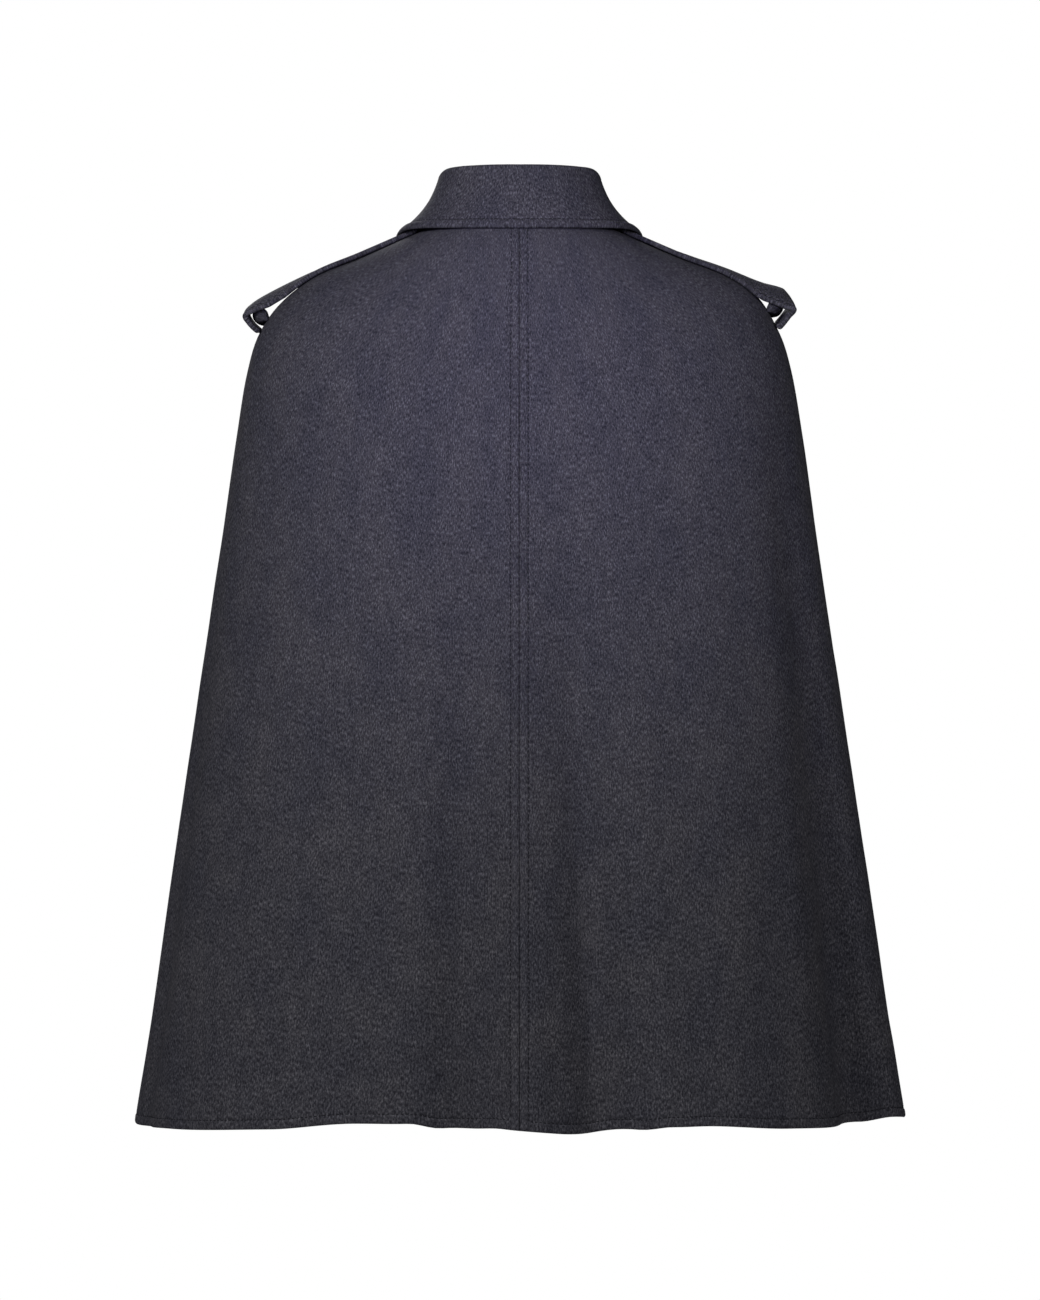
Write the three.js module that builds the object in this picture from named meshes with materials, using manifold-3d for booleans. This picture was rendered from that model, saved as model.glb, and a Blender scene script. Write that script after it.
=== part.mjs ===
// A wool cape coat, buttoned up the front, in the form it has when it is worn.
// Millimetres, +Z up. The front faces -Y and the wearer's left is +X.
// The origin is on the midline, level with the points where the shoulder seams meet the neck.
// The cut: two backs with a centre seam, two fronts, a collar stand, a collar fall, two shoulder straps
// with a cloth bar in the fold of each, and four-hole buttons.
import * as THREE from "three";
import { mergeVertices } from "three/addons/utils/BufferGeometryUtils.js";
import Module from "manifold-3d";

// Cloth and sewing
const CLOTH = 2.6; // thickness of the double-faced wool
const STRAP = 4.0; // thickness of a shoulder strap, which is two thin layers
const SEAM_GAP = 0.3; // between pieces that are sewn together
const LAY_GAP = 0.8; // between a piece and the panel that it lies on
const OVERLAP = 18; // how far each front passes the centre line
const UNDERLAP_RAMP = 28; // over which the under front steps in behind the upper one

// The sections of the body, from neck to hem. sideX and sideZ give the outline seen from behind,
// backY, backZ, frontY and frontZ the profile seen from the side.
const SECTIONS = [
  { at: "neck seam", sideX: 68, sideZ: 0, backY: 66, backZ: 6, frontY: -84, frontZ: -60 },
  { at: "collar edge", sideX: 100, sideZ: -14, backY: 89, backZ: -17, frontY: -99, frontZ: -82 },
  { at: "mid shoulder", sideX: 140, sideZ: -31, backY: 102, backZ: -62, frontY: -113, frontZ: -120 },
  { at: "outer shoulder", sideX: 182, sideZ: -48.5, backY: 110, backZ: -108, frontY: -124, frontZ: -170 },
  { at: "shoulder point", sideX: 211, sideZ: -71.5, backY: 115, backZ: -148, frontY: -130, frontZ: -212 },
  { at: "shoulder turn", sideX: 229, sideZ: -98, backY: 120, backZ: -180, frontY: -133.5, frontZ: -243 },
  { at: "upper arm", sideX: 239, sideZ: -130, backY: 125, backZ: -215, frontY: -137, frontZ: -276 },
  { at: "chest", sideX: 248.5, sideZ: -187, backY: 132, backZ: -264, frontY: -142, frontZ: -322 },
  { at: "waist", sideX: 262.8, sideZ: -287, backY: 145, backZ: -350, frontY: -152, frontZ: -400 },
  { at: "hip", sideX: 282.6, sideZ: -420, backY: 163, backZ: -460, frontY: -166, frontZ: -500 },
  { at: "thigh", sideX: 304.5, sideZ: -565, backY: 181, backZ: -590, frontY: -181, frontZ: -612 },
  { at: "above hem", sideX: 324.4, sideZ: -705, backY: 196, backZ: -705, frontY: -195, frontZ: -708 },
  { at: "hem", sideX: 337.6, sideZ: -788, backY: 204, backZ: -775, frontY: -202, frontZ: -775 },
];
const SQUARENESS = 2.2; // 2 is an ellipse, more is squarer

// The largest folds. Angles are degrees round from the centre back, positive towards the wearer's left.
// depth is how far the fold stands out at the hem, or in where it is negative; from is where it starts,
// 0 at the neck and 1 at the hem; drift is how far it has wandered from its angle at its start.
const FOLDS = [
  { angle: 6.4, drift: 1, width: 5, depth: -24, from: 0.46 },
  { angle: 0.2, drift: 1, width: 3, depth: 10, from: 0.42 },
  { angle: -10.6, drift: 3, width: 4.4, depth: -28, from: 0.46 },
  { angle: -19, drift: 0, width: 6, depth: 5, from: 0.55 },
  { angle: -31, drift: -6, width: 8, depth: 6, from: 0.45 },
  { angle: -62, drift: -2, width: 9, depth: -27, from: 0.48 },
  { angle: 46, drift: 0, width: 15, depth: 8, from: 0.5 },
  { angle: 76, drift: 0, width: 6, depth: -8, from: 0.6 },
  { angle: -76, drift: 2, width: 6, depth: 5, from: 0.6 },
  { angle: 112, drift: 4, width: 8, depth: -20, from: 0.5 },
  { angle: 134, drift: 2, width: 8, depth: 12, from: 0.45 },
  { angle: 164, drift: -2, width: 7, depth: -15, from: 0.5 },
  { angle: -110, drift: -3, width: 9, depth: -17, from: 0.52 },
  { angle: -136, drift: -2, width: 9, depth: 13, from: 0.5 },
  { angle: -166, drift: 3, width: 6, depth: -16, from: 0.45 },
];

// Where the cloth stands out over the wearer's right shoulder point. angle and at are the middle round
// and down, width and spread how far it reaches each way, and out how far it stands out.
const SHOULDER_SWELL = { angle: -95, width: 25, at: 0.29, spread: 0.07, out: 6 };

// How far the hem stands above its plain level round the body, because the cloth hangs unevenly
const HEM_LEVELS = [
  { angle: -180, up: 0 },
  { angle: -115, up: 3 },
  { angle: -86, up: 5 },
  { angle: -73, up: 8.5 },
  { angle: -66, up: 4.5 },
  { angle: -56, up: 2.8 },
  { angle: -40, up: 3 },
  { angle: -26, up: 5.5 },
  { angle: -20, up: 4.6 },
  { angle: -15, up: 1 },
  { angle: -8, up: -3.8 },
  { angle: 2, up: 1.8 },
  { angle: 5.5, up: 0 },
  { angle: 9.5, up: 1 },
  { angle: 14, up: 6.4 },
  { angle: 22, up: 7 },
  { angle: 36, up: 2.8 },
  { angle: 60, up: 1.5 },
  { angle: 86, up: -1.5 },
  { angle: 115, up: -1 },
  { angle: 180, up: 0 },
];
const HEM_LEVELS_FROM = 0.7; // the share of the way down where this starts

// Arm slits, one in each front
const SLIT_ANGLE = 150;
const SLIT_FROM = 0.625;
const SLIT_TO = 0.8;
const SLIT_GAPE = 18;

// Shares of the way from neck to hem at which the panels have their rows, closest at the shoulder turn
const SHARES_ABOVE_SLIT = [
  0, 0.03, 0.06, 0.09, 0.13, 0.17, 0.21, 0.25, 0.29, 0.325, 0.355, 0.385, 0.42, 0.47, 0.54, SLIT_FROM,
];
const SHARES_BESIDE_SLIT = [0.67, 0.713, 0.757, SLIT_TO];
const SHARES_BELOW_SLIT = [0.86, 0.93, 1];
const PANEL_SHARES = [...SHARES_ABOVE_SLIT, ...SHARES_BESIDE_SLIT, ...SHARES_BELOW_SLIT];
const PANEL_ROWS = PANEL_SHARES.length - 1;
const SLIT_TOP_ROW = SHARES_ABOVE_SLIT.length - 1;
const SLIT_FOOT_ROW = SLIT_TOP_ROW + SHARES_BESIDE_SLIT.length;
const BACK_COLUMNS = 22;
const FRONT_SIDE_COLUMNS = 10;
const FRONT_MIDDLE_COLUMNS = 11;

// Collar. Stations run from the centre back to the front end: turn is the angle of the roll line,
// edgeTurn that of the fall's edge, edgeAt how far down the panel the edge lies, 0 at the neck seam,
// rollZ the height of the roll, lean how far the stand's head lies in from its foot, bow how far the
// fall bends in between its roll and its edge, and lift how far the strap under it holds the edge off
// the body.
const COLLAR_STATIONS = [
  { turn: 0, edgeTurn: 0, edgeAt: 0.074, rollZ: 45, lean: 5, bow: 2, lift: 0 },
  { turn: 34, edgeTurn: 34, edgeAt: 0.075, rollZ: 45.3, lean: 4.5, bow: 3, lift: 1.5 },
  { turn: 64, edgeTurn: 62, edgeAt: 0.081, rollZ: 45.5, lean: 3.5, bow: 4, lift: 4.2 },
  { turn: 90, edgeTurn: 88, edgeAt: 0.09, rollZ: 41, lean: 2.5, bow: 4.5, lift: 5 },
  { turn: 118, edgeTurn: 112, edgeAt: 0.12, rollZ: 21, lean: 2, bow: 2.5, lift: 6 },
  { turn: 146, edgeTurn: 133, edgeAt: 0.185, rollZ: -11, lean: 2, bow: 1, lift: 0.5 },
  { turn: 177, edgeTurn: 153, edgeAt: 0.262, rollZ: -31, lean: 3, bow: 0.5, lift: 0 },
];
const FOOT_GAP = 0.6; // between the stand and the sloping neck edge below it
const STAND_WALL = 2.8;
const FALL_WALL = 2.8;
const ROLL_RADIUS = 3.2; // to the middle of the cloth
const STAND_SEAM_DROP = 8; // the fall is sewn to the stand this far below the roll, inside
const STAND_SEAM_GAP = 0.5;
const COLLAR_COLUMNS = 44;
const STAND_ROWS = 3;
const ROLL_ROWS = 4;
const FALL_ROWS = 6;

// Shoulder straps, from the inner end to the fold at the shoulder point, seen from behind.
// x and z are the middle of the strap, y how far behind the ridge it lies, tilt its lean to the back
// in degrees, half its half width, and drop how far its edges hang below its middle. The inner end lies
// under the collar. The outer end is folded under and sewn to the body at endAt, with its bar at barAt.
const STRAPS = {
  left: {
    endAt: 0.407,
    barAt: 0.378,
    line: [
      { x: 90, y: 1, z: -7, tilt: 0, half: 14, drop: 0 },
      { x: 118, y: 1, z: -18.8, tilt: 1, half: 15.5, drop: 1 },
      { x: 149, y: 0, z: -31, tilt: 4, half: 18, drop: 5.75 },
      { x: 184, y: 0, z: -45, tilt: 8, half: 20, drop: 6.5 },
      { x: 219, y: 0, z: -62.5, tilt: 14.5, half: 22, drop: 6.25 },
      { x: 234, y: 0, z: -71.5, tilt: 11, half: 22, drop: 4 },
      { x: 240, y: 0, z: -77.85, tilt: 8.5, half: 22, drop: 2 },
      { x: 237.4, y: 0, z: -85.5, tilt: 5.5, half: 22, drop: 0 },
    ],
  },
  right: {
    endAt: 0.393,
    barAt: 0.354,
    line: [
      { x: 90, y: 1, z: -7, tilt: 0, half: 14, drop: 0 },
      { x: 118, y: 1, z: -18.8, tilt: 1, half: 15.5, drop: 1 },
      { x: 149, y: 1, z: -29.8, tilt: 3, half: 18, drop: 2.5 },
      { x: 184, y: 2, z: -42, tilt: 8.5, half: 20, drop: 5.5 },
      { x: 213, y: 4, z: -55.5, tilt: 22, half: 22, drop: 5.25 },
      { x: 232, y: 5, z: -64, tilt: 25.5, half: 22, drop: 3 },
      { x: 240, y: 5, z: -72.3, tilt: 9.5, half: 22, drop: 2 },
      { x: 235.4, y: 4, z: -79.5, tilt: 10.5, half: 22, drop: 0 },
    ],
  },
};
const STRAP_STEPS = 28;
const STRAP_ACROSS = 4;
const BAR_RADIUS = 7;
const BAR_END_RADIUS = 2;
const BAR_SPREAD = 7.5; // degrees each way from the ridge
const BAR_STEPS = 14;
const BAR_SIDES = 10;

// Buttons
const FRONT_BUTTON = { radius: 11.5, thick: 4.2 };
const FRONT_BUTTON_HEIGHTS = [-98, -210, -322, -434, -546];
const BUTTON_HOLE_RADIUS = 1.1;
const BUTTON_HOLE_CIRCLE = 0.26; // of the button's radius
const BUTTON_SEGMENTS = 16;

const CENTRE_FRONT = 180;
const SIDE_SEAM = 90;

const lerp = THREE.MathUtils.lerp;
const smooth = (x, from, to) => THREE.MathUtils.smoothstep(x, from, to);
const vec = (x, y, z) => new THREE.Vector3(x, y, z);

// The three profile lines of the body, as curves through the sections
const lineThrough = (toPoint) => new THREE.CatmullRomCurve3(SECTIONS.map(toPoint));
const sideLine = lineThrough((s) => vec(s.sideX, 0, s.sideZ));
const backLine = lineThrough((s) => vec(0, s.backY, s.backZ));
const frontLine = lineThrough((s) => vec(0, s.frontY, s.frontZ));

// How far the cloth stands out of its plain form at an angle, down at share t
function foldOut(angle, t) {
  let out = 0;
  for (const fold of FOLDS) {
    const grown = smooth(t, fold.from, 1) * lerp(0.4, 1, t);
    const centre = fold.angle + fold.drift * (1 - grown);
    const apart = ((angle - centre + 540) % 360) - 180;
    out += fold.depth * grown * Math.exp(-((apart / fold.width) ** 2));
  }
  const swell = SHOULDER_SWELL;
  const aside = ((angle - swell.angle + 540) % 360) - 180;
  out += swell.out * Math.exp(-((aside / swell.width) ** 2) - ((t - swell.at) / swell.spread) ** 2);
  return out;
}

// How far the hem is raised at an angle
function hemUp(angle) {
  const next = HEM_LEVELS.findIndex((level, i) => i > 0 && angle <= level.angle);
  const [a, b] = [HEM_LEVELS[next - 1], HEM_LEVELS[next]];
  return lerp(a.up, b.up, smooth(angle, a.angle, b.angle));
}

// A point on the outside of the body, at an angle round from the centre back and share t from neck to hem
function clothPoint(angle, t) {
  const turn = THREE.MathUtils.degToRad(angle);
  const s = Math.sin(turn);
  const c = Math.cos(turn);
  const side = sideLine.getPoint(t);
  const middle = (c >= 0 ? backLine : frontLine).getPoint(t);
  const power = 2 / SQUARENESS;
  const point = vec(
    side.x * Math.sign(s) * Math.abs(s) ** power,
    middle.y * Math.abs(c) ** power,
    lerp(side.z, middle.z, c * c),
  );
  const away = vec(s / side.x, c / Math.abs(middle.y), 0).normalize();
  point.addScaledVector(away, foldOut(angle, t));
  point.z += hemUp(THREE.MathUtils.euclideanModulo(angle + 180, 360) - 180) * smooth(t, HEM_LEVELS_FROM, 1);
  return point;
}

// The outward normal of the body there
function clothNormal(angle, t) {
  const t0 = Math.max(0, t - 0.004);
  const t1 = Math.min(1, t + 0.004);
  const round = clothPoint(angle + 0.4, t).sub(clothPoint(angle - 0.4, t));
  const down = clothPoint(angle, t1).sub(clothPoint(angle, t0));
  return round.cross(down).normalize();
}

// Moves a point out from the body where it is nearer to it than a gap. guess is an angle and a share
// close to the point.
function clearOfBody(point, guess, gap) {
  let near = guess;
  const reach = ([angle, t]) => clothPoint(angle, t).distanceToSquared(point);
  for (let step = 1; step > 0.01; step /= 2) {
    const around = [[6, 0], [-6, 0], [0, 0.04], [0, -0.04]].map(([turn, down]) => [
      near[0] + step * turn,
      THREE.MathUtils.clamp(near[1] + step * down, 0, 1),
    ]);
    near = [near, ...around].reduce((best, place) => (reach(place) < reach(best) ? place : best));
  }
  const normal = clothNormal(...near);
  const height = point.clone().sub(clothPoint(...near)).dot(normal);
  return point.clone().addScaledVector(normal, Math.max(0, gap - height));
}

// The share of the way down at which the body has a height
function shareAtHeight(angle, height) {
  let [above, below] = [0, 1];
  while (below - above > 1e-4) {
    const middle = (above + below) / 2;
    if (clothPoint(angle, middle).z > height) above = middle;
    else below = middle;
  }
  return above;
}

// Millimetres of cloth in each degree there
const perDegree = (angle, t) => clothPoint(angle + 0.5, t).distanceTo(clothPoint(angle - 0.5, t));

// A closed solid from its corners and faces, turned so that the faces point out
function closedSolid(points, faces) {
  const sixVolumes = faces.map(([a, b, c]) => points[a].dot(points[b].clone().cross(points[c])));
  const inward = sixVolumes.reduce((sum, v) => sum + v, 0) < 0;
  const order = inward ? faces.map(([a, b, c]) => [a, c, b]) : faces;
  const geometry = new THREE.BufferGeometry();
  geometry.setAttribute("position", new THREE.Float32BufferAttribute(points.flatMap((p) => p.toArray()), 3));
  geometry.setIndex(order.flat());
  geometry.computeVertexNormals();
  return geometry;
}

// A solid from a patch of faces, its outer points and the same points on the inside.
// Every open edge of the patch gets a wall, those of a slit too.
function solidPatch(outer, inner, faces) {
  const count = outer.length;
  const triangles = [];
  const open = new Map();
  for (const [a, b, c] of faces) {
    triangles.push([a, b, c], [a + count, c + count, b + count]);
    for (const [p, q] of [[a, b], [b, c], [c, a]]) {
      if (!open.delete(`${q},${p}`)) open.set(`${p},${q}`, [p, q]);
    }
  }
  for (const [p, q] of open.values()) {
    triangles.push([q, p, p + count], [q, p + count, q + count]);
  }
  return closedSolid([...outer, ...inner], triangles);
}

// A wall over a grid. pointsAt(row, column, side) gives { outer, inner }; side tells the two lips of
// a slit apart, -1 before the column and 1 after it.
function gridWall(rows, columns, pointsAt, slit) {
  const ids = new Map();
  const outer = [];
  const inner = [];
  const idOf = (row, column, side) => {
    const split = slit && column === slit.column && row > slit.from && row < slit.to;
    const key = split ? `${row},${column},${side}` : `${row},${column}`;
    if (!ids.has(key)) {
      ids.set(key, outer.length);
      const made = pointsAt(row, column, split ? side : 0);
      outer.push(made.outer);
      inner.push(made.inner);
    }
    return ids.get(key);
  };
  const faces = [];
  for (let i = 0; i < rows; i++) {
    for (let j = 0; j < columns; j++) {
      const a = idOf(i, j, 1);
      const b = idOf(i, j + 1, -1);
      const c = idOf(i + 1, j + 1, -1);
      const d = idOf(i + 1, j, 1);
      const acShorter = outer[a].distanceTo(outer[c]) < outer[b].distanceTo(outer[d]);
      if (acShorter) faces.push([a, b, c], [a, c, d]);
      else faces.push([a, b, d], [b, c, d]);
    }
  }
  return solidPatch(outer, inner, faces);
}

// The outer and inner point of a panel. The neck edge is cut plumb, so that the collar stands on it.
function panelPoints(angle, t, sunk = 0) {
  const normal = clothNormal(angle, t);
  const outer = clothPoint(angle, t).addScaledVector(normal, -sunk);
  const inner = outer.clone();
  if (t === 0) inner.z -= CLOTH / normal.z;
  else inner.addScaledVector(normal, -CLOTH);
  return { outer, inner };
}

// A back, from the centre seam to the side seam. hand is 1 for the wearer's left and -1 for the right.
function backPanel(hand) {
  return gridWall(PANEL_ROWS, BACK_COLUMNS, (row, column) => {
    const t = PANEL_SHARES[row];
    const centre = SEAM_GAP / 2 / perDegree(0, t);
    const seam = SIDE_SEAM - SEAM_GAP / 2 / perDegree(hand * SIDE_SEAM, t);
    const share = (column / BACK_COLUMNS) ** 1.4;
    return panelPoints(hand * lerp(centre, seam, share), t);
  });
}

// A front, from the side seam past the centre line, with its arm slit.
// The left front passes under the right one.
function frontPanel(hand) {
  const columns = FRONT_SIDE_COLUMNS + FRONT_MIDDLE_COLUMNS;
  const under = hand > 0;
  const place = (row, column, side) => {
    const t = PANEL_SHARES[row];
    const seam = SIDE_SEAM + SEAM_GAP / 2 / perDegree(hand * SIDE_SEAM, t);
    const edge = CENTRE_FRONT + OVERLAP / perDegree(CENTRE_FRONT, t);
    const past = column - FRONT_SIDE_COLUMNS;
    let angle =
      past <= 0
        ? lerp(seam, SLIT_ANGLE, column / FRONT_SIDE_COLUMNS)
        : lerp(edge, SLIT_ANGLE, (1 - past / FRONT_MIDDLE_COLUMNS) ** 1.3);
    if (side !== 0) {
      const along = (t - SLIT_FROM) / (SLIT_TO - SLIT_FROM);
      const half = (SLIT_GAPE / 2) * Math.sin(Math.PI * along);
      angle += (side * half) / perDegree(hand * SLIT_ANGLE, t);
    }
    const fromEdge = (angle - CENTRE_FRONT) * perDegree(CENTRE_FRONT, t) + OVERLAP;
    const sunk = under ? (CLOTH + LAY_GAP) * smooth(fromEdge, -UNDERLAP_RAMP, -2) : 0;
    return panelPoints(hand * angle, t, sunk);
  };
  const slit = { column: FRONT_SIDE_COLUMNS, from: SLIT_TOP_ROW, to: SLIT_FOOT_ROW };
  return gridWall(PANEL_ROWS, columns, place, slit);
}

// A value of the collar's stations at a share from the centre back, 0, to a front end, 1
function stationValue(key, share) {
  const last = COLLAR_STATIONS.length - 1;
  const points = COLLAR_STATIONS.map((s, i) => vec(i / last, s[key], 0));
  return new THREE.CatmullRomCurve3(points).getPoint(share).y;
}

// The collar's section at a signed share: the stand's foot and head, the roll's middle and the fall's edge
function collarSection(signedShare) {
  const share = Math.abs(signedShare);
  const hand = Math.sign(signedShare) || 1;
  const at = (key) => stationValue(key, share);
  const turn = hand * at("turn");
  const neck = clothPoint(turn, 0);
  const out = vec(neck.x, neck.y, 0).normalize();
  const foot = neck.clone().addScaledVector(out, -STAND_WALL / 2);
  foot.z += FOOT_GAP;
  const head = foot.clone().addScaledVector(out, -at("lean"));
  head.z = at("rollZ") - ROLL_RADIUS - FALL_WALL / 2;
  const edgeAngle = hand * at("edgeTurn");
  const edgeT = at("edgeAt");
  const normal = clothNormal(edgeAngle, edgeT);
  const height = LAY_GAP + FALL_WALL / 2 + at("lift");
  const edge = clothPoint(edgeAngle, edgeT).addScaledVector(normal, height);
  return { out, foot, head, edge, bow: at("bow"), lift: at("lift"), turn, edgeAngle, edgeT };
}

// Points that a wall of a thickness has each side of a grid of middle points
function bothSides(middle, thick) {
  const rows = middle.length;
  const columns = middle[0].length;
  return (row, column) => {
    const up = middle[Math.max(0, row - 1)][column];
    const down = middle[Math.min(rows - 1, row + 1)][column];
    const before = middle[row][Math.max(0, column - 1)];
    const after = middle[row][Math.min(columns - 1, column + 1)];
    const normal = down.clone().sub(up).cross(after.clone().sub(before)).normalize();
    const here = middle[row][column];
    return {
      outer: here.clone().addScaledVector(normal, thick / 2),
      inner: here.clone().addScaledVector(normal, -thick / 2),
    };
  };
}

// A wall of a thickness about a grid of middle points, from one row of it to another
function wallAbout(middle, thick, from = 0, to = middle.length - 1) {
  const points = bothSides(middle, thick);
  return gridWall(to - from, middle[0].length - 1, (row, column) => points(row + from, column));
}

// One line of the collar's middle points: up the stand, over the roll and down the fall to its edge
function collarLine(signedShare) {
  const { out, foot, head, edge, bow, lift, turn, edgeAngle, edgeT } = collarSection(signedShare);
  const line = [];
  const seam = head.clone();
  seam.z -= STAND_SEAM_DROP;
  for (let i = 0; i <= STAND_ROWS; i++) line.push(foot.clone().lerp(seam, i / STAND_ROWS));
  const slope = seam.clone().sub(foot).normalize().z;
  line.push(seam.clone().add(vec(0, 0, STAND_SEAM_GAP / slope)));
  const heart = head.clone().addScaledVector(out, ROLL_RADIUS);
  for (let i = 0; i <= ROLL_ROWS; i++) {
    const around = Math.PI * (1 - i / ROLL_ROWS);
    const point = heart.clone().addScaledVector(out, ROLL_RADIUS * Math.cos(around));
    point.z += ROLL_RADIUS * Math.sin(around);
    line.push(point);
  }
  const from = line[line.length - 1];
  const bend = from.clone().lerp(edge, 0.5).addScaledVector(out, -2 * bow);
  bend.z -= bow;
  const down = new THREE.QuadraticBezierCurve3(from, bend, edge);
  for (let i = 1; i <= FALL_ROWS; i++) {
    const share = i / FALL_ROWS;
    const guess = [lerp(turn, edgeAngle, share), edgeT * share];
    line.push(clearOfBody(down.getPoint(share), guess, LAY_GAP + FALL_WALL / 2 + lift * share));
  }
  return line;
}

function collarGrid() {
  const lines = [];
  for (let i = 0; i <= COLLAR_COLUMNS; i++) lines.push(collarLine((2 * i) / COLLAR_COLUMNS - 1));
  return lines[0].map((_, row) => lines.map((line) => line[row]));
}

// The line of a strap, from its point near the collar to its sewn end, as its middle, its direction
// across, its half width and its edges' drop at a share of the way
function strapLine(side, hand) {
  const { line, endAt } = STRAPS[side];
  const angle = hand * SIDE_SEAM;
  const lift = clothNormal(angle, endAt);
  const seat = clothPoint(angle, endAt);
  const last = line[line.length - 1];
  const points = line.map((r) => vec(hand * r.x, r.y, r.z));
  points.push(seat.clone().addScaledVector(lift, STRAP / 2 + LAY_GAP).setY(last.y / 2));
  points.push(seat.clone().addScaledVector(lift, LAY_GAP));
  const curve = new THREE.CatmullRomCurve3(points);
  const shape = [...line, last, { ...last, tilt: 0 }];
  return (share) => {
    const place = share * (shape.length - 1);
    const i = Math.min(Math.floor(place), shape.length - 2);
    const mix = (key) => lerp(shape[i][key], shape[i + 1][key], place - i);
    const tilt = THREE.MathUtils.degToRad(mix("tilt"));
    const across = vec(0, Math.cos(tilt), -Math.sin(tilt));
    const sewn = place > line.length - 1;
    return { middle: curve.getPoint(share), across, half: mix("half"), drop: mix("drop"), sewn };
  };
}

// A strap, folded over at the shoulder point
function shoulderStrap(side, hand) {
  const at = strapLine(side, hand);
  const middle = [];
  for (let i = 0; i <= STRAP_STEPS; i++) {
    const { middle: centre, across, half, drop, sewn } = at(i / STRAP_STEPS);
    const row = [];
    for (let j = 0; j <= STRAP_ACROSS; j++) {
      const share = (2 * j) / STRAP_ACROSS - 1;
      const point = centre.clone().addScaledVector(across, share * half);
      point.z -= drop * share * share;
      const guess = [hand * (SIDE_SEAM - 10 * share), 0.1 + (0.28 * i) / STRAP_STEPS];
      row.push(sewn ? point : clearOfBody(point, guess, STRAP / 2 + LAY_GAP));
    }
    middle.push(row);
  }
  return wallAbout(middle, STRAP);
}

// A closed rod along points, with a radius at each
function rod(points, radii, sides) {
  const path = new THREE.CatmullRomCurve3(points);
  const frames = path.computeFrenetFrames(points.length - 1, false);
  const rings = points.map((point, i) =>
    Array.from({ length: sides }, (_, j) => {
      const turn = (2 * Math.PI * j) / sides;
      return point
        .clone()
        .addScaledVector(frames.normals[i], radii[i] * Math.cos(turn))
        .addScaledVector(frames.binormals[i], radii[i] * Math.sin(turn));
    }),
  );
  const corners = [...rings.flat(), points[0], points[points.length - 1]];
  const first = corners.length - 2;
  const last = corners.length - 1;
  const faces = [];
  for (let j = 0; j < sides; j++) {
    const next = (j + 1) % sides;
    for (let i = 0; i + 1 < rings.length; i++) {
      const a = i * sides + j;
      const b = i * sides + next;
      faces.push([a, b, b + sides], [a, b + sides, a + sides]);
    }
    faces.push([first, next, j], [last, first - sides + j, first - sides + next]);
  }
  return closedSolid(corners, faces);
}

// The rolled bar of cloth in the fold of a strap, across the shoulder ridge and thin at its ends
function strapBar(side, hand) {
  const points = [];
  const radii = [];
  for (let i = 0; i <= BAR_STEPS; i++) {
    const across = (2 * i) / BAR_STEPS - 1;
    const angle = hand * (SIDE_SEAM + BAR_SPREAD * across);
    const radius = lerp(BAR_RADIUS, BAR_END_RADIUS, Math.abs(across) ** 4);
    const lift = clothNormal(angle, STRAPS[side].barAt);
    points.push(clothPoint(angle, STRAPS[side].barAt).addScaledVector(lift, radius + SEAM_GAP));
    radii.push(radius);
  }
  return rod(points, radii, BAR_SIDES);
}

const wasm = await Module();
wasm.setup();

function toManifold(geometry) {
  const bare = new THREE.BufferGeometry();
  bare.setAttribute("position", geometry.getAttribute("position"));
  if (geometry.index) bare.setIndex(geometry.index);
  const merged = mergeVertices(bare, 1e-4);
  return new wasm.Manifold(
    new wasm.Mesh({
      numProp: 3,
      vertProperties: new Float32Array(merged.attributes.position.array),
      triVerts: new Uint32Array(merged.index.array),
    }),
  );
}

function fromManifold(solid) {
  const mesh = solid.getMesh();
  const geometry = new THREE.BufferGeometry();
  geometry.setAttribute("position", new THREE.BufferAttribute(mesh.vertProperties, 3));
  geometry.setIndex(new THREE.BufferAttribute(mesh.triVerts, 1));
  geometry.computeVertexNormals();
  return geometry;
}

// A dished button with four holes, its back on z = 0 and its face up
function buttonShape({ radius, thick }) {
  const profile = [
    [0, 0],
    [0.78 * radius, 0],
    [radius, 0.45 * thick],
    [0.97 * radius, 0.85 * thick],
    [0.84 * radius, thick],
    [0.68 * radius, 0.7 * thick],
    [0, 0.62 * thick],
  ].map(([r, z]) => new THREE.Vector2(r, z));
  const turned = new THREE.LatheGeometry(profile, BUTTON_SEGMENTS).rotateX(Math.PI / 2);
  let solid = toManifold(turned);
  for (let i = 0; i < 4; i++) {
    const turn = (Math.PI / 2) * (i + 0.5);
    const reach = BUTTON_HOLE_CIRCLE * radius;
    const hole = new THREE.CylinderGeometry(BUTTON_HOLE_RADIUS, BUTTON_HOLE_RADIUS, 3 * thick, 6)
      .rotateX(Math.PI / 2)
      .translate(reach * Math.cos(turn), reach * Math.sin(turn), 0);
    solid = solid.subtract(toManifold(hole));
  }
  return fromManifold(solid);
}

const wool = new THREE.MeshStandardMaterial({ color: 0x3a393f, roughness: 0.95, metalness: 0 });
const woolDark = new THREE.MeshStandardMaterial({ color: 0x333238, roughness: 0.95, metalness: 0 });
const horn = new THREE.MeshStandardMaterial({ color: 0x1d1b1c, roughness: 0.45, metalness: 0 });

const cape = new THREE.Group();

function add(name, geometry, material) {
  const mesh = new THREE.Mesh(geometry, material);
  mesh.name = name;
  cape.add(mesh);
  return mesh;
}

// Sets a button on a point, its face along a normal
function addButton(name, shape, point, normal) {
  const mesh = add(name, buttonShape(shape), horn);
  mesh.position.copy(point).addScaledVector(normal, SEAM_GAP);
  mesh.quaternion.setFromUnitVectors(vec(0, 0, 1), normal);
}

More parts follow.
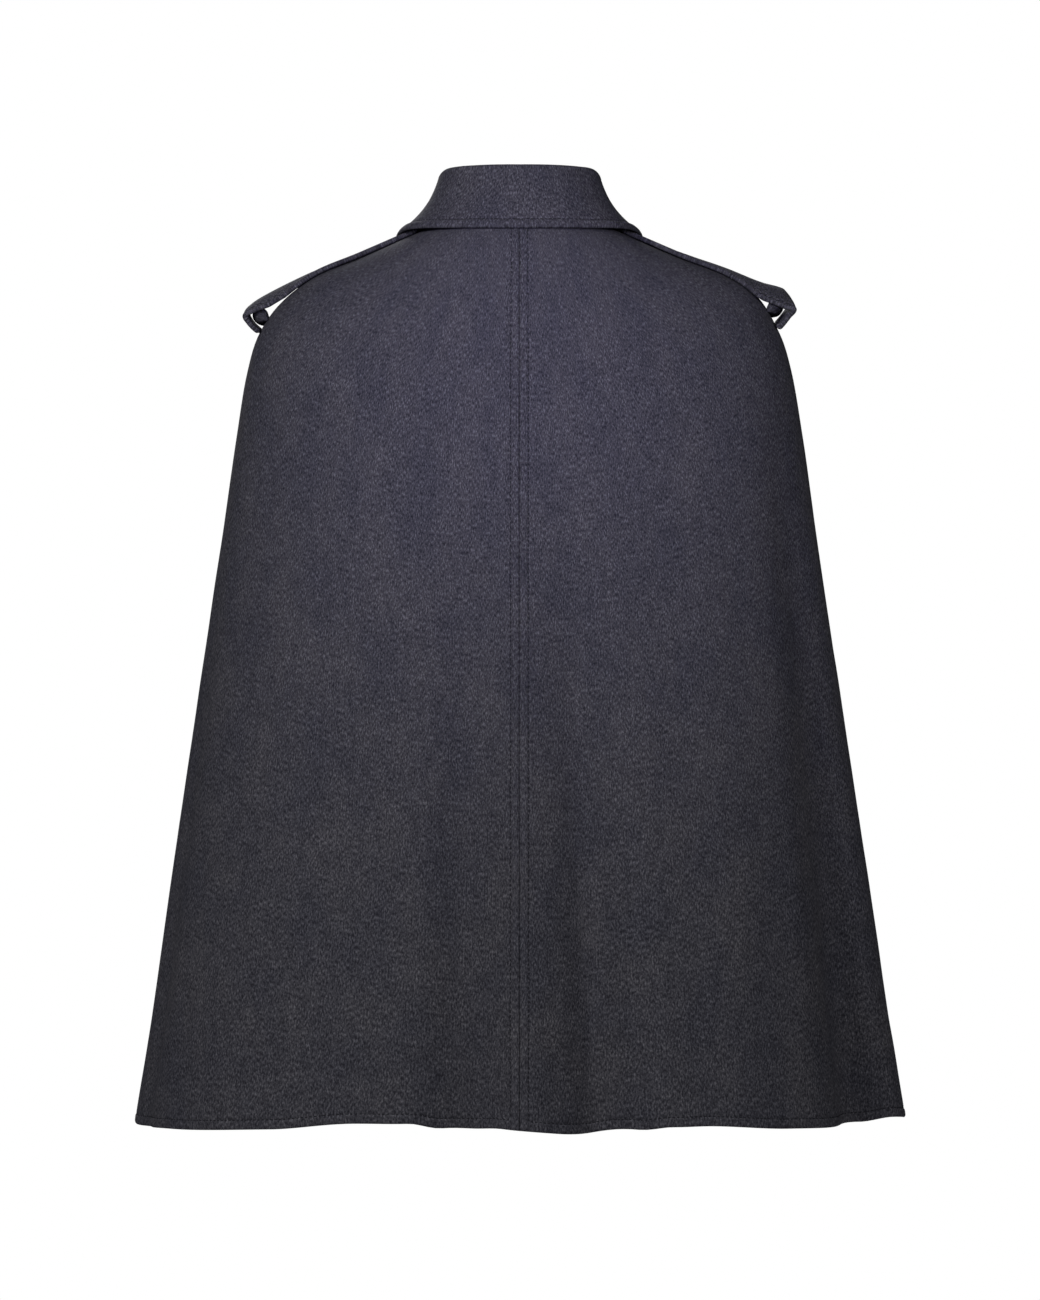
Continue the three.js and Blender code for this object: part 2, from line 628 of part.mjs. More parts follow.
for (const [side, hand] of [["left", 1], ["right", -1]]) {
  add(`back_${side}`, backPanel(hand), wool);
  add(`front_${side}`, frontPanel(hand), wool);
  add(`strap_${side}`, shoulderStrap(side, hand), wool);
  add(`strap_bar_${side}`, strapBar(side, hand), woolDark);
}
const collar = collarGrid();
add("collar_stand", wallAbout(collar, STAND_WALL, 0, STAND_ROWS), wool);
add("collar_fall", wallAbout(collar, FALL_WALL, STAND_ROWS + 1), wool);
FRONT_BUTTON_HEIGHTS.forEach((height, i) => {
  const t = shareAtHeight(CENTRE_FRONT, height);
  addButton(`front_button_${i + 1}`, FRONT_BUTTON, clothPoint(CENTRE_FRONT, t), clothNormal(CENTRE_FRONT, t));
});

export default cape;
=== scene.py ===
# The wool cape coat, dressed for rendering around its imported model.
# Shapes are worked out in millimetres with +Z up, and become metres as the meshes are made.
# The front faces -Y, the wearer's left is +X, and the camera stands behind.
import math

import bpy
import numpy as np
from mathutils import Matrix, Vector


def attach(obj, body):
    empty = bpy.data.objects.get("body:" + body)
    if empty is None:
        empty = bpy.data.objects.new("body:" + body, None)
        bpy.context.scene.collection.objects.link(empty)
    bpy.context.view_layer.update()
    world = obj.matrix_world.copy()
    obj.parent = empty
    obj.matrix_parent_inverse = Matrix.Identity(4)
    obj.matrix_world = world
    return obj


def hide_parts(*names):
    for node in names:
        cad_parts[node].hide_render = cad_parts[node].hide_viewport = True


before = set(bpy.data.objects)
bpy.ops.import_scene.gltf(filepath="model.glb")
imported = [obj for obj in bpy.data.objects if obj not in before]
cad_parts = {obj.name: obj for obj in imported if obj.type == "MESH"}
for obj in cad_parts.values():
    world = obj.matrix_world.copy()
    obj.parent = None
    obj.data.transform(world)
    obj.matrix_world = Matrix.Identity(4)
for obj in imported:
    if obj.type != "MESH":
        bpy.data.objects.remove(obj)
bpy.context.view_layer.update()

# Cloth and sewing
CLOTH = 2.6
STRAP = 4.0
LAY_GAP = 0.8  # between a piece and the panel that it lies on
SEAM_GAP = -0.1  # edges that are sewn together press a little into each other
OVERLAP = 18  # how far each front passes the centre line
UNDERLAP_RAMP = 28
FAR = 99  # stands for any distance that is too far from an edge to matter

# Stitched edges: how far in the stitches lie, how much the edge is raised, where it rises and falls again,
# and how deep and wide the stitches pull it in
STITCH_IN = 8.3
PANEL_SEWING = {
    "in": STITCH_IN,
    "raised": 0.6,
    "rise": 2.5,
    "fall": (STITCH_IN - 2, STITCH_IN + 3),
    "pull": 0.8,
    "width": 1.1,
}
COLLAR_SEWING = {"in": 9, "raised": 1.2, "rise": 4, "fall": (6.2, 9.5), "pull": 0.7, "width": 1.1}
STRAP_SEWING = {"in": 4.5, "raised": 0.4, "rise": 2.4, "fall": (3, 4.8), "pull": 0.6, "width": 0.9}

# The sections of the body, from neck to hem: the outline seen from behind, and the profile seen
# from the side
SECTION_COLUMNS = ("side_x", "side_z", "back_y", "back_z", "front_y", "front_z")
SECTIONS = (
    (68, 0, 66, 6, -84, -60),
    (100, -14, 89, -17, -99, -82),
    (140, -31, 102, -62, -113, -120),
    (182, -48.5, 110, -108, -124, -170),
    (211, -71.5, 115, -148, -130, -212),
    (229, -98, 120, -180, -133.5, -243),
    (239, -130, 125, -215, -137, -276),
    (248.5, -187, 132, -264, -142, -322),
    (262.8, -287, 145, -350, -152, -400),
    (282.6, -420, 163, -460, -166, -500),
    (304.5, -565, 181, -590, -181, -612),
    (324.4, -705, 196, -705, -195, -708),
    (337.6, -788, 204, -775, -202, -775),
)
SQUARENESS = 2.2

# The largest folds: the angle at the hem, how far round from it they lie higher up, the width, the depth and
# the share of the way down where they start. Angles are degrees round from the centre back, positive to the
# wearer's left.
FOLDS = (
    (6.4, 1, 5, -24, 0.46),
    (0.2, 1, 3, 10, 0.42),
    (-10.6, 3, 4.4, -28, 0.46),
    (-19, 0, 6, 5, 0.55),
    (-31, -6, 8, 6, 0.45),
    (-62, -2, 9, -27, 0.48),
    (46, 0, 15, 8, 0.5),
    (76, 0, 6, -8, 0.6),
    (-76, 2, 6, 5, 0.6),
    (112, 4, 8, -20, 0.5),
    (134, 2, 8, 12, 0.45),
    (164, -2, 7, -15, 0.5),
    (-110, -3, 9, -17, 0.52),
    (-136, -2, 9, 13, 0.5),
    (-166, 3, 6, -16, 0.45),
)

# Where the cloth stands out over the wearer's right shoulder point, in millimetres and shares of the
# way down
SHOULDER_SWELL = {"angle": -95, "width": 25, "at": 0.29, "spread": 0.07, "out": 6}

# How far the hem stands above its plain level: degrees round, millimetres up
HEM_LEVELS = (
    (-180, 0), (-115, 3), (-86, 5), (-73, 8.5), (-66, 4.5), (-56, 2.8), (-40, 3), (-26, 5.5),
    (-20, 4.6), (-15, 1), (-8, -3.8), (2, 1.8), (5.5, 0), (9.5, 1), (14, 6.4), (22, 7),
    (36, 2.8), (60, 1.5), (86, -1.5), (115, -1), (180, 0),
)  # fmt: skip
HEM_LEVELS_FROM = 0.7

# Arm slits
SLIT_ANGLE = 150
SLIT_FROM = 0.625
SLIT_TO = 0.8
SLIT_GAPE = 18

# Collar stations, from the centre back to the front end: the neck's angle, the angle and share at which the
# edge lies on the body, the roll's height, the stand's lean, the fall's bow and the lift of its edge
COLLAR_COLUMNS = ("turn", "edge_turn", "edge_at", "roll_z", "lean", "bow", "lift")
COLLAR_STATIONS = (
    (0, 0, 0.074, 45, 5, 2, 0),
    (34, 34, 0.075, 45.3, 4.5, 3, 1.5),
    (64, 62, 0.081, 45.5, 3.5, 4, 4.2),
    (90, 88, 0.09, 41, 2.5, 4.5, 5),
    (118, 112, 0.12, 21, 2, 2.5, 6),
    (146, 133, 0.185, -11, 2, 1, 0.5),
    (177, 153, 0.262, -31, 3, 0.5, 0),
)
FOOT_GAP = 0.1  # between the neck edge and the stand
COLLAR_WALL = 2.8
ROLL_RADIUS = 3.2
STAND_SEAM_DROP = 8

# Shoulder straps, from the inner end to the fold. Each row is a point of the middle line, the tilt in degrees
# from front to back, half the width, and how far both edges hang below the middle.
STRAP_COLUMNS = ("x", "y", "z", "tilt", "half", "drop")
STRAPS = {
    "left": {
        "hand": 1,
        "end_at": 0.407,
        "bar_at": 0.378,
        "line": (
            (90, 1, -7, 0, 14, 0),
            (118, 1, -18.8, 1, 15.5, 1),
            (149, 0, -31, 4, 18, 5.75),
            (184, 0, -45, 8, 20, 6.5),
            (219, 0, -62.5, 14.5, 22, 6.25),
            (234, 0, -71.5, 11, 22, 4),
            (240, 0, -77.85, 8.5, 22, 2),
            (237.4, 0, -85.5, 5.5, 22, 0),
        ),
    },
    "right": {
        "hand": -1,
        "end_at": 0.393,
        "bar_at": 0.354,
        "line": (
            (90, 1, -7, 0, 14, 0),
            (118, 1, -18.8, 1, 15.5, 1),
            (149, 1, -29.8, 3, 18, 2.5),
            (184, 2, -42, 8.5, 20, 5.5),
            (213, 4, -55.5, 22, 22, 5.25),
            (232, 5, -64, 25.5, 22, 3),
            (240, 5, -72.3, 9.5, 22, 2),
            (235.4, 4, -79.5, 10.5, 22, 0),
        ),
    },
}
BAR_RADIUS = 7
BAR_END_RADIUS = 2
BAR_SPREAD = 7.5  # degrees each way from the side seam

BUTTON_RADIUS = 11.5
BUTTON_THICK = 4.2
BUTTON_HEIGHTS = (-98, -210, -322, -434, -546)
CENTRE_FRONT = 180
SIDE_SEAM = 90


# Smooth curves and noise


def smooth(x, start, end):
    share = np.clip((x - start) / (end - start), 0, 1)
    return share * share * (3 - 2 * share)


def lerp(a, b, share):
    return a + (b - a) * share


def unit(v):
    return v / np.maximum(np.linalg.norm(v, axis=-1, keepdims=True), 1e-12)


def curve(points):
    """A centripetal Catmull-Rom curve through points, as a function of shares from 0 to 1."""
    points = np.asarray(points, float)
    ends = 2 * points[:1] - points[1:2], 2 * points[-1:] - points[-2:-1]
    knots = np.concatenate([ends[0], points, ends[1]])
    last = len(points) - 1

    def at(share):
        place = np.asarray(share, float) * last
        i = np.clip(np.floor(place).astype(int), 0, last - 1)
        w = (place - i)[..., None]
        p0, p1, p2, p3 = knots[i], knots[i + 1], knots[i + 2], knots[i + 3]
        spans = ((p0, p1), (p1, p2), (p2, p3))
        d0, d1, d2 = (np.sqrt(np.linalg.norm(b - a, axis=-1))[..., None] for a, b in spans)
        t1 = ((p1 - p0) / d0 - (p2 - p0) / (d0 + d1) + (p2 - p1) / d1) * d1
        t2 = ((p2 - p1) / d1 - (p3 - p1) / (d1 + d2) + (p3 - p2) / d2) * d1
        c2 = -3 * p1 + 3 * p2 - 2 * t1 - t2
        c3 = 2 * p1 - 2 * p2 + t1 + t2
        return p1 + w * (t1 + w * (c2 + w * c3))

    return at


LATTICE = 32
lattice_values = np.random.default_rng(11).uniform(-1, 1, (LATTICE, LATTICE, LATTICE))


def soft_noise(points, wavelength):
    """Smooth noise from -1 to 1 at points, with one wavelength for each axis."""
    place = points / (np.asarray(wavelength) / 2)
    low = np.floor(place).astype(int)
    w = place - low
    w = w * w * (3 - 2 * w)
    total = 0
    for corner in np.ndindex(2, 2, 2):
        weight = np.prod([w[..., k] if corner[k] else 1 - w[..., k] for k in range(3)], axis=0)
        i, j, k = ((low[..., n] + corner[n]) % LATTICE for n in range(3))
        total = total + weight * lattice_values[i, j, k]
    return total


# The body


section_of = {name: np.array([row[i] for row in SECTIONS], float) for i, name in enumerate(SECTION_COLUMNS)}


def profile(across, up):
    return curve(np.stack([section_of[across], section_of[up]], axis=-1))


side_line = profile("side_x", "side_z")
back_line = profile("back_y", "back_z")
front_line = profile("front_y", "front_z")


def fold_out(angle, t):
    """How far the cloth stands out of its plain form."""
    out = np.zeros(np.shape(angle))
    for centre_at_hem, drift, width, depth, start in FOLDS:
        grown = smooth(t, start, 1) * lerp(0.4, 1, t)
        centre = centre_at_hem + drift * (1 - grown)
        apart = (angle - centre + 540) % 360 - 180
        out += depth * grown * np.exp(-((apart / width) ** 2))
    swell = SHOULDER_SWELL
    aside = (angle - swell["angle"] + 540) % 360 - 180
    reach = (aside / swell["width"]) ** 2 + ((t - swell["at"]) / swell["spread"]) ** 2
    out += swell["out"] * np.exp(-reach)
    return out


def hem_up(angle):
    levels, up = np.array(HEM_LEVELS, float).T
    wrapped = (angle + 180) % 360 - 180
    i = np.clip(np.searchsorted(levels, wrapped), 1, len(levels) - 1)
    return lerp(up[i - 1], up[i], smooth(wrapped, levels[i - 1], levels[i]))


def cloth_point(angle, t):
    """Points on the outside of the body, at angles round from the centre back and shares down."""
    angle, t = np.broadcast_arrays(np.asarray(angle, float), np.asarray(t, float))
    turn = np.radians(angle)
    s, c = np.sin(turn), np.cos(turn)
    side = side_line(t)
    middle = np.where((c >= 0)[..., None], back_line(t), front_line(t))
    power = 2 / SQUARENESS
    point = np.stack(
        [
            side[..., 0] * np.sign(s) * np.abs(s) ** power,
            middle[..., 0] * np.abs(c) ** power,
            lerp(side[..., 1], middle[..., 1], c * c),
        ],
        axis=-1,
    )
    away = unit(np.stack([s / side[..., 0], c / np.abs(middle[..., 0]), np.zeros(s.shape)], axis=-1))
    point += away * fold_out(angle, t)[..., None]
    point[..., 2] += hem_up(angle) * smooth(t, HEM_LEVELS_FROM, 1)
    return point


NORMAL_TURN = 0.4
NORMAL_SHARE = 0.004


def cloth_normal(angle, t):
    t0 = np.maximum(0, t - NORMAL_SHARE)
    t1 = np.minimum(1, t + NORMAL_SHARE)
    around = cloth_point(angle + NORMAL_TURN, t) - cloth_point(angle - NORMAL_TURN, t)
    down = cloth_point(angle, t1) - cloth_point(angle, t0)
    return unit(np.cross(around, down))


SEARCH_WAYS = ((6, 0), (-6, 0), (0, 0.04), (0, -0.04))  # degrees round and shares down
FINEST_STEP = 0.01


def clear_of_body(point, angle, t, gap):
    """Moves points out from the body where they are nearer to it than a gap. angle and t are guesses."""
    angle, t, gap = (np.array(np.broadcast_to(v, point.shape[:-1]), float) for v in (angle, t, gap))

    def reach(a, b):
        return np.linalg.norm(cloth_point(a, b) - point, axis=-1)

    step = 1.0
    while step > FINEST_STEP:
        best_angle, best_t, best = angle, t, reach(angle, t)
        for turn, down in SEARCH_WAYS:
            tried_angle = angle + step * turn
            tried_t = np.clip(t + step * down, 0, 1)
            found = reach(tried_angle, tried_t)
            nearer = found < best
            best = np.where(nearer, found, best)
            best_angle = np.where(nearer, tried_angle, best_angle)
            best_t = np.where(nearer, tried_t, best_t)
        angle, t = best_angle, best_t
        step /= 2
    normal = cloth_normal(angle, t)
    height = ((point - cloth_point(angle, t)) * normal).sum(axis=-1)
    return point + normal * np.maximum(0, gap - height)[..., None]


def per_degree(angle, t):
    return np.linalg.norm(cloth_point(angle + 0.5, t) - cloth_point(angle - 0.5, t), axis=-1)


def per_share(angle, t):
    """Millimetres of cloth in each share of the way down."""
    t0 = np.clip(t - 0.002, 0, 1)
    t1 = np.clip(t + 0.002, 0, 1)
    return np.linalg.norm(cloth_point(angle, t1) - cloth_point(angle, t0), axis=-1) / (t1 - t0)


# Meshes


def new_mesh(name, points, faces):
    """A mesh from points in millimetres."""
    mesh = bpy.data.meshes.new(name)
    mesh.from_pydata((points / 1000).tolist(), [], faces)
    return mesh


def add_object(name, data):
    made = bpy.data.objects.new(name, data)
    bpy.context.scene.collection.objects.link(made)
    return made


def make_smooth(mesh):
    mesh.polygons.foreach_set("use_smooth", [True] * len(mesh.polygons))


def make_piece(name, points, faces, material, uv=None):
    """A smooth piece from points in millimetres, riding on the one body."""
    mesh = new_mesh(name, points, faces)
    make_smooth(mesh)
    if uv is not None:
        corners = np.zeros(len(mesh.loops), int)
        mesh.loops.foreach_get("vertex_index", corners)
        mesh.uv_layers.new(name="cloth").data.foreach_set("uv", (uv[corners] / 1000).ravel())
    mesh.materials.append(material)
    mesh.validate()
    piece = add_object(name, mesh)
    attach(piece, "root")
    return piece


def rounded(distance, radius):
    """Half the thickness of a wall that is rounded at its edge, at distances in from the edge."""
    inside = np.clip(distance, 0, radius)
    return np.sqrt(np.maximum(0, radius**2 - (radius - inside) ** 2))


def sewn(wall, distance, sewing):
    """Half the thickness near a stitched edge: raised as far as the stitches, and pulled in by them."""
    raised = sewing["raised"] * smooth(distance, 0, sewing["rise"]) * (1 - smooth(distance, *sewing["fall"]))
    pulled = sewing["pull"] * np.exp(-(((distance - sewing["in"]) / sewing["width"]) ** 2))
    return wall + raised - pulled


def numbered(shape):
    return np.arange(math.prod(shape)).reshape(shape)


def grid_faces(ids):
    """Quads over a grid of point numbers."""
    return np.stack([ids[:-1, :-1], ids[:-1, 1:], ids[1:, 1:], ids[1:, :-1]], axis=-1).reshape(-1, 4)


def tube_faces(rings, sides):
    """Faces of a tube over rings of points, closed at both ends and facing outward."""
    ids = numbered((rings, sides))
    quads = grid_faces(np.concatenate([ids, ids[:, :1]], axis=1))
    return [tuple(quad) for quad in quads] + [tuple(ids[0][::-1]), tuple(ids[-1])]


def cloth_wall(name, middle, normal, outer_half, inner_half, edge, faces, uv):
    """A closed piece of cloth about a grid of middle points. Its two sides meet where edge is true."""
    middle, normal, uv = (grid.reshape(-1, grid.shape[-1]) for grid in (middle, normal, uv))
    outer_half, inner_half, edge = outer_half.ravel(), inner_half.ravel(), edge.ravel()
    count = len(middle)
    inner_ids = np.where(edge, np.arange(count), count + np.cumsum(~edge) - 1)
    outer = middle + normal * np.where(edge, 0, outer_half)[:, None]
    inner = (middle - normal * inner_half[:, None])[~edge]
    points = np.concatenate([outer, inner])
    faces = np.concatenate([faces, inner_ids[faces][:, ::-1]])
    a, b, c = (points[faces[:, k]] for k in range(3))
    inward = (a * np.cross(b, c)).sum() + (a * np.cross(c, points[faces[:, 3]])).sum() < 0
    if inward:
        faces = faces[:, ::-1]
    return make_piece(name, points, faces.tolist(), wool, np.concatenate([uv, uv[~edge]]))


def grid_border(middle):
    """True at the outermost points of a grid."""
    border = np.zeros(middle.shape[:2], bool)
    border[[0, -1]] = True
    border[:, [0, -1]] = True
    return border


def grid_normals(middle):
    """Normals of a grid of points, from its neighbours."""
    down = np.concatenate([middle[1:], middle[-1:]]) - np.concatenate([middle[:1], middle[:-1]])
    after = np.concatenate([middle[:, 1:], middle[:, -1:]], axis=1)
    before = np.concatenate([middle[:, :1], middle[:, :-1]], axis=1)
    return unit(np.cross(down, after - before))


def grid_uv(middle):
    """Millimetres along the middle row and down each column."""
    row = middle[len(middle) // 2]
    along = np.concatenate([[0], np.cumsum(np.linalg.norm(np.diff(row, axis=0), axis=-1))])
    steps = np.linalg.norm(np.diff(middle, axis=0), axis=-1)
    down = np.concatenate([np.zeros((1, middle.shape[1])), np.cumsum(steps, axis=0)])
    return np.stack([np.broadcast_to(along, down.shape), down], axis=-1)


# Stitches


STITCH_PITCH = 3.9
STITCH_LENGTH = 2.9
STITCH_RINGS = 7
STITCH_SIDES = 6
PLAIN_STITCH = (STITCH_LENGTH, 0.42, 0.1)  # length, radius and rise


def stitch_shape(length, radius, rise):
    """One stitch along x, bowed up in z, with its ends sunk."""
    points = []
    for i in range(STITCH_RINGS):
        along = 2 * i / (STITCH_RINGS - 1) - 1
        here = radius * math.sqrt(max(0.04, 1 - along**4))
        for j in range(STITCH_SIDES):
            turn = 2 * math.pi * j / STITCH_SIDES
            height = rise * (1 - 4 * along**4) + here * math.sin(turn)
            points.append((along * length / 2, here * math.cos(turn), height))
    return np.array(points), tube_faces(STITCH_RINGS, STITCH_SIDES)


def lay_stitches(name, centres, ahead, up, size=PLAIN_STITCH):
    """One piece of many stitches, from their middles, their directions and the way up from the cloth."""
    shape, faces = stitch_shape(*size)
    ahead = unit(ahead - up * (ahead * up).sum(axis=-1, keepdims=True))
    axes = np.stack([ahead, np.cross(up, ahead), up], axis=1)
    points = centres[:, None] + np.einsum("pk,nkc->npc", shape, axes)
    firsts = range(0, len(shape) * len(centres), len(shape))
    all_faces = [tuple(i + first for i in face) for first in firsts for face in faces]
    piece = make_piece(name, points.reshape(-1, 3), all_faces, thread)
    return piece


def stitch_rows(name, lines):
    """Stitches along lines. Each line is its points and the normals of the cloth there."""
    found = []
    for line, normals in lines:
        steps = np.linalg.norm(np.diff(line, axis=0), axis=-1)
        reach = np.concatenate([[0], np.cumsum(steps)])
        places = np.arange(STITCH_PITCH / 2, reach[-1] - STITCH_LENGTH / 2, STITCH_PITCH)

        def at(values, where):
            return np.stack([np.interp(where, reach, values[:, k]) for k in range(3)], axis=-1)

        ahead = at(line, places + STITCH_LENGTH / 2) - at(line, places - STITCH_LENGTH / 2)
        found.append((at(line, places), ahead, unit(at(normals, places))))
    centres, ahead, up = (np.concatenate(parts) for parts in zip(*found))
    return lay_stitches(name, centres, ahead, up)


# Materials


def new_material(name):
    material = bpy.data.materials.new(name)
    material.use_nodes = True
    nodes = material.node_tree.nodes
    return material, nodes, material.node_tree.links, nodes["Principled BSDF"]


def noise_at(nodes, links, vector, stretch, scale, detail, roughness=0.5):
    """A noise texture over a vector, stretched along each axis."""
    mapping = nodes.new("ShaderNodeMapping")
    mapping.inputs["Scale"].default_value = stretch
    links.new(vector, mapping.inputs["Vector"])
    noise = nodes.new("ShaderNodeTexNoise")
    noise.inputs["Scale"].default_value = scale
    noise.inputs["Detail"].default_value = detail
    noise.inputs["Roughness"].default_value = roughness
    links.new(mapping.outputs["Vector"], noise.inputs["Vector"])
    return noise.outputs["Fac"]


def ramp(nodes, links, value, stops):
    node = nodes.new("ShaderNodeValToRGB")
    elements = node.color_ramp.elements
    while len(elements) < len(stops):
        elements.new(0.5)
    for element, (place, colour) in zip(elements, stops):
        element.position = place
        element.color = (*colour, 1)
    links.new(value, node.inputs["Fac"])
    return node.outputs["Color"]


def mix_colour(nodes, links, kind, factor, a, b):
    node = nodes.new("ShaderNodeMix")
    node.data_type = "RGBA"
    node.blend_type = kind
    node.inputs["Factor"].default_value = factor
    links.new(a, node.inputs["A"])
    links.new(b, node.inputs["B"])
    return node.outputs["Result"]


def bump(nodes, links, height, strength, distance, normal=None):
    """A normal roughened by a height. It starts from another normal where one is given."""
    node = nodes.new("ShaderNodeBump")
    node.inputs["Strength"].default_value = strength
    node.inputs["Distance"].default_value = distance
    links.new(height, node.inputs["Height"])
    if normal is not None:
        links.new(normal, node.inputs["Normal"])
    return node.outputs["Normal"]


def wool_material(name, tone=1.0):
    """Felted melange wool: dark and light fibres in short flecks that run with the grain."""
    material, nodes, links, shader = new_material(name)
    uv = nodes.new("ShaderNodeUVMap")
    uv.uv_map = "cloth"
    grain = uv.outputs["UV"]
    flecks = noise_at(nodes, links, grain, (1, 0.36, 1), 900, 2, 0.6)
    fibres = noise_at(nodes, links, grain, (1, 0.25, 1), 1900, 2, 0.6)
    clouds = noise_at(nodes, links, grain, (1, 0.5, 1), 26, 3, 0.5)
    mottle = noise_at(nodes, links, grain, (1, 0.4, 1), 150, 2, 0.5)

    def grey(red, green, blue):
        return (red * tone, green * tone, blue * tone)

    base = ramp(
        nodes,
        links,
        flecks,
        (
            (0.33, grey(0.0215, 0.0208, 0.0272)),
            (0.47, grey(0.044, 0.0432, 0.0525)),
            (0.57, grey(0.067, 0.066, 0.078)),
            (0.69, grey(0.118, 0.116, 0.134)),
        ),
    )
    fine = ramp(nodes, links, fibres, ((0.3, (0.7, 0.7, 0.7)), (0.7, (1.26, 1.26, 1.26))))
    broad = ramp(nodes, links, clouds, ((0.35, (0.88, 0.89, 0.92)), (0.65, (1.1, 1.09, 1.06))))
    patches = ramp(nodes, links, mottle, ((0.35, (0.87, 0.87, 0.88)), (0.65, (1.13, 1.13, 1.12))))
    colour = mix_colour(nodes, links, "MULTIPLY", 1, base, fine)
    colour = mix_colour(nodes, links, "MULTIPLY", 1, colour, broad)
    colour = mix_colour(nodes, links, "MULTIPLY", 1, colour, patches)
    links.new(colour, shader.inputs["Base Color"])
    shader.inputs["Roughness"].default_value = 0.95
    shader.inputs["Specular IOR Level"].default_value = 0.03
    shader.inputs["Sheen Weight"].default_value = 0.006
    shader.inputs["Sheen Roughness"].default_value = 0.55
    shader.inputs["Sheen Tint"].default_value = (0.75, 0.77, 0.9, 1)
    nap = bump(nodes, links, flecks, 0.12, 0.0002)
    fuzz = bump(nodes, links, fibres, 0.2, 0.0001, nap)
    links.new(fuzz, shader.inputs["Normal"])
    return material


def thread_material():
    material, nodes, links, shader = new_material("thread")
    place = nodes.new("ShaderNodeTexCoord").outputs["Object"]
    twist = noise_at(nodes, links, place, (1, 1, 1), 1400, 2)
    # The thread is darker than any wool fleck: partly the thread's own dark colour, partly painted shade of
    # the tightly pulled stitches.
    colour = ramp(nodes, links, twist, ((0.3, (0.008, 0.0078, 0.0105)), (0.7, (0.022, 0.0215, 0.027))))
    links.new(colour, shader.inputs["Base Color"])
    shader.inputs["Roughness"].default_value = 0.8
    shader.inputs["Specular IOR Level"].default_value = 0.08
    links.new(bump(nodes, links, twist, 0.4, 0.0002), shader.inputs["Normal"])
    return material


def horn_material():
    material, nodes, links, shader = new_material("horn")
    place = nodes.new("ShaderNodeTexCoord").outputs["Object"]
    streaks = noise_at(nodes, links, place, (1, 1, 0.35), 260, 5, 0.6)
    stops = ((0.3, (0.006, 0.005, 0.005)), (0.55, (0.018, 0.014, 0.012)), (0.75, (0.055, 0.042, 0.034)))
    links.new(ramp(nodes, links, streaks, stops), shader.inputs["Base Color"])
    rough = ramp(nodes, links, streaks, ((0.3, (0.3, 0.3, 0.3)), (0.8, (0.46, 0.46, 0.46))))
    links.new(rough, shader.inputs["Roughness"])
    links.new(bump(nodes, links, streaks, 0.25, 0.0001), shader.inputs["Normal"])
    return material


wool = wool_material("wool")
# A copy of the wool at 0.85 of its brightness: painted shade for the bars that lie tucked in the straps'
# folds.
wool_painted_shade = wool_material("wool_shaded", 0.85)
thread = thread_material()
horn = horn_material()


# Panels


EDGE_OFFSETS = np.array([0, 0.15, 0.45, 0.85, 1.3, 2, 3, 4.2, 5.6, 6.8, 7.6, 8.3, 9, 9.8, 11.5, 14])
STITCH_STEP = 11  # the place of the stitching in EDGE_OFFSETS
SLIT_OFFSETS = np.array([0, 0.2, 0.6, 1.3, 2.4, 4, 6, 9])
SLIT_STITCH_STEP = 6
SLIT_CLEARANCE = 2.5  # between the slit's own rows of points and the even ones
INNER_SPACING = 6.5
INNER_FROM = 0.05
INNER_TO = 0.977
ROUNDED_WITHIN = 2  # an edge without stitches is rounded only this far in
BACK_COLUMNS = 78
BACK_CROWDING = 1.15  # over 1 brings the back's columns closer together at the centre
FRONT_SIDE_COLUMNS = 46
FRONT_MIDDLE_COLUMNS = 18
BODY_LENGTH = 900  # about, from neck to hem along the cloth


def inner_shares():
    """Shares of the way down between the edges, evenly spaced along the cloth."""
    fine = np.linspace(0, 1, 2001)
    reach = np.concatenate([[0], np.cumsum(np.linalg.norm(np.diff(back_line(fine), axis=0), axis=-1))])
    first, last = np.interp([INNER_FROM, INNER_TO], fine, reach)
    count = int((last - first) / INNER_SPACING)
    return np.interp(np.linspace(first, last, count + 1), reach, fine)


def panel_rows(angles, shares):
    """The share of each grid point, with rows at fixed distances from the neck and the hem."""
    top = EDGE_OFFSETS[:, None] / per_share(angles, np.zeros(angles.shape))[None]
    foot = 1 - EDGE_OFFSETS[::-1, None] / per_share(angles, np.ones(angles.shape))[None]
    inner = np.broadcast_to(shares[:, None], (len(shares), len(angles)))
    return np.concatenate([top, inner, foot])


BROAD_WAVE = 0.75
BROAD_LENGTHS = (75, 75, 210)
FINE_WAVE = 0.3
FINE_LENGTHS = (30, 30, 80)
SHOULDER_SHARE = 0.25  # of the undulations, left over the shoulders
FLAT_EDGE = 12


def relief(points, distance, t):
    """Small undulations of the cloth, weaker over the shoulders and gone at the edges."""
    wave = BROAD_WAVE * soft_noise(points, BROAD_LENGTHS) + FINE_WAVE * soft_noise(points + 400, FINE_LENGTHS)
    return wave * lerp(SHOULDER_SHARE, 1, smooth(t, 0.25, 0.5)) * smooth(distance, 0, FLAT_EDGE)


def make_panel(name, hand, angle, t, distance, faces, stitched, sunk):
    """A panel from its grid of angles and shares, with the distances to its edges and stitched edges."""
    outer = cloth_point(hand * angle, t)
    normal = cloth_normal(hand * angle, t)
    outer = outer + normal * (relief(outer, distance, t) - sunk)[..., None]
    middle = outer - normal * (CLOTH / 2)
    half = sewn(rounded(stitched, CLOTH / 2), stitched, PANEL_SEWING)
    round_half = rounded(distance, CLOTH / 2)
    outer_half = np.minimum(half, round_half + PANEL_SEWING["raised"])
    uv = grid_uv(middle) * (hand, 1)
    piece = cloth_wall(name, middle, normal, outer_half, round_half, distance <= 0, faces, uv)
    surface = middle + normal * outer_half[..., None]
    return piece, surface, normal


def edge_distance(count):
    """Distances to the edges at each end of a line of grid points."""
    distance = np.full(count, FAR, float)
    distance[: len(EDGE_OFFSETS)] = EDGE_OFFSETS
    distance[-len(EDGE_OFFSETS) :] = EDGE_OFFSETS[::-1]
    return distance


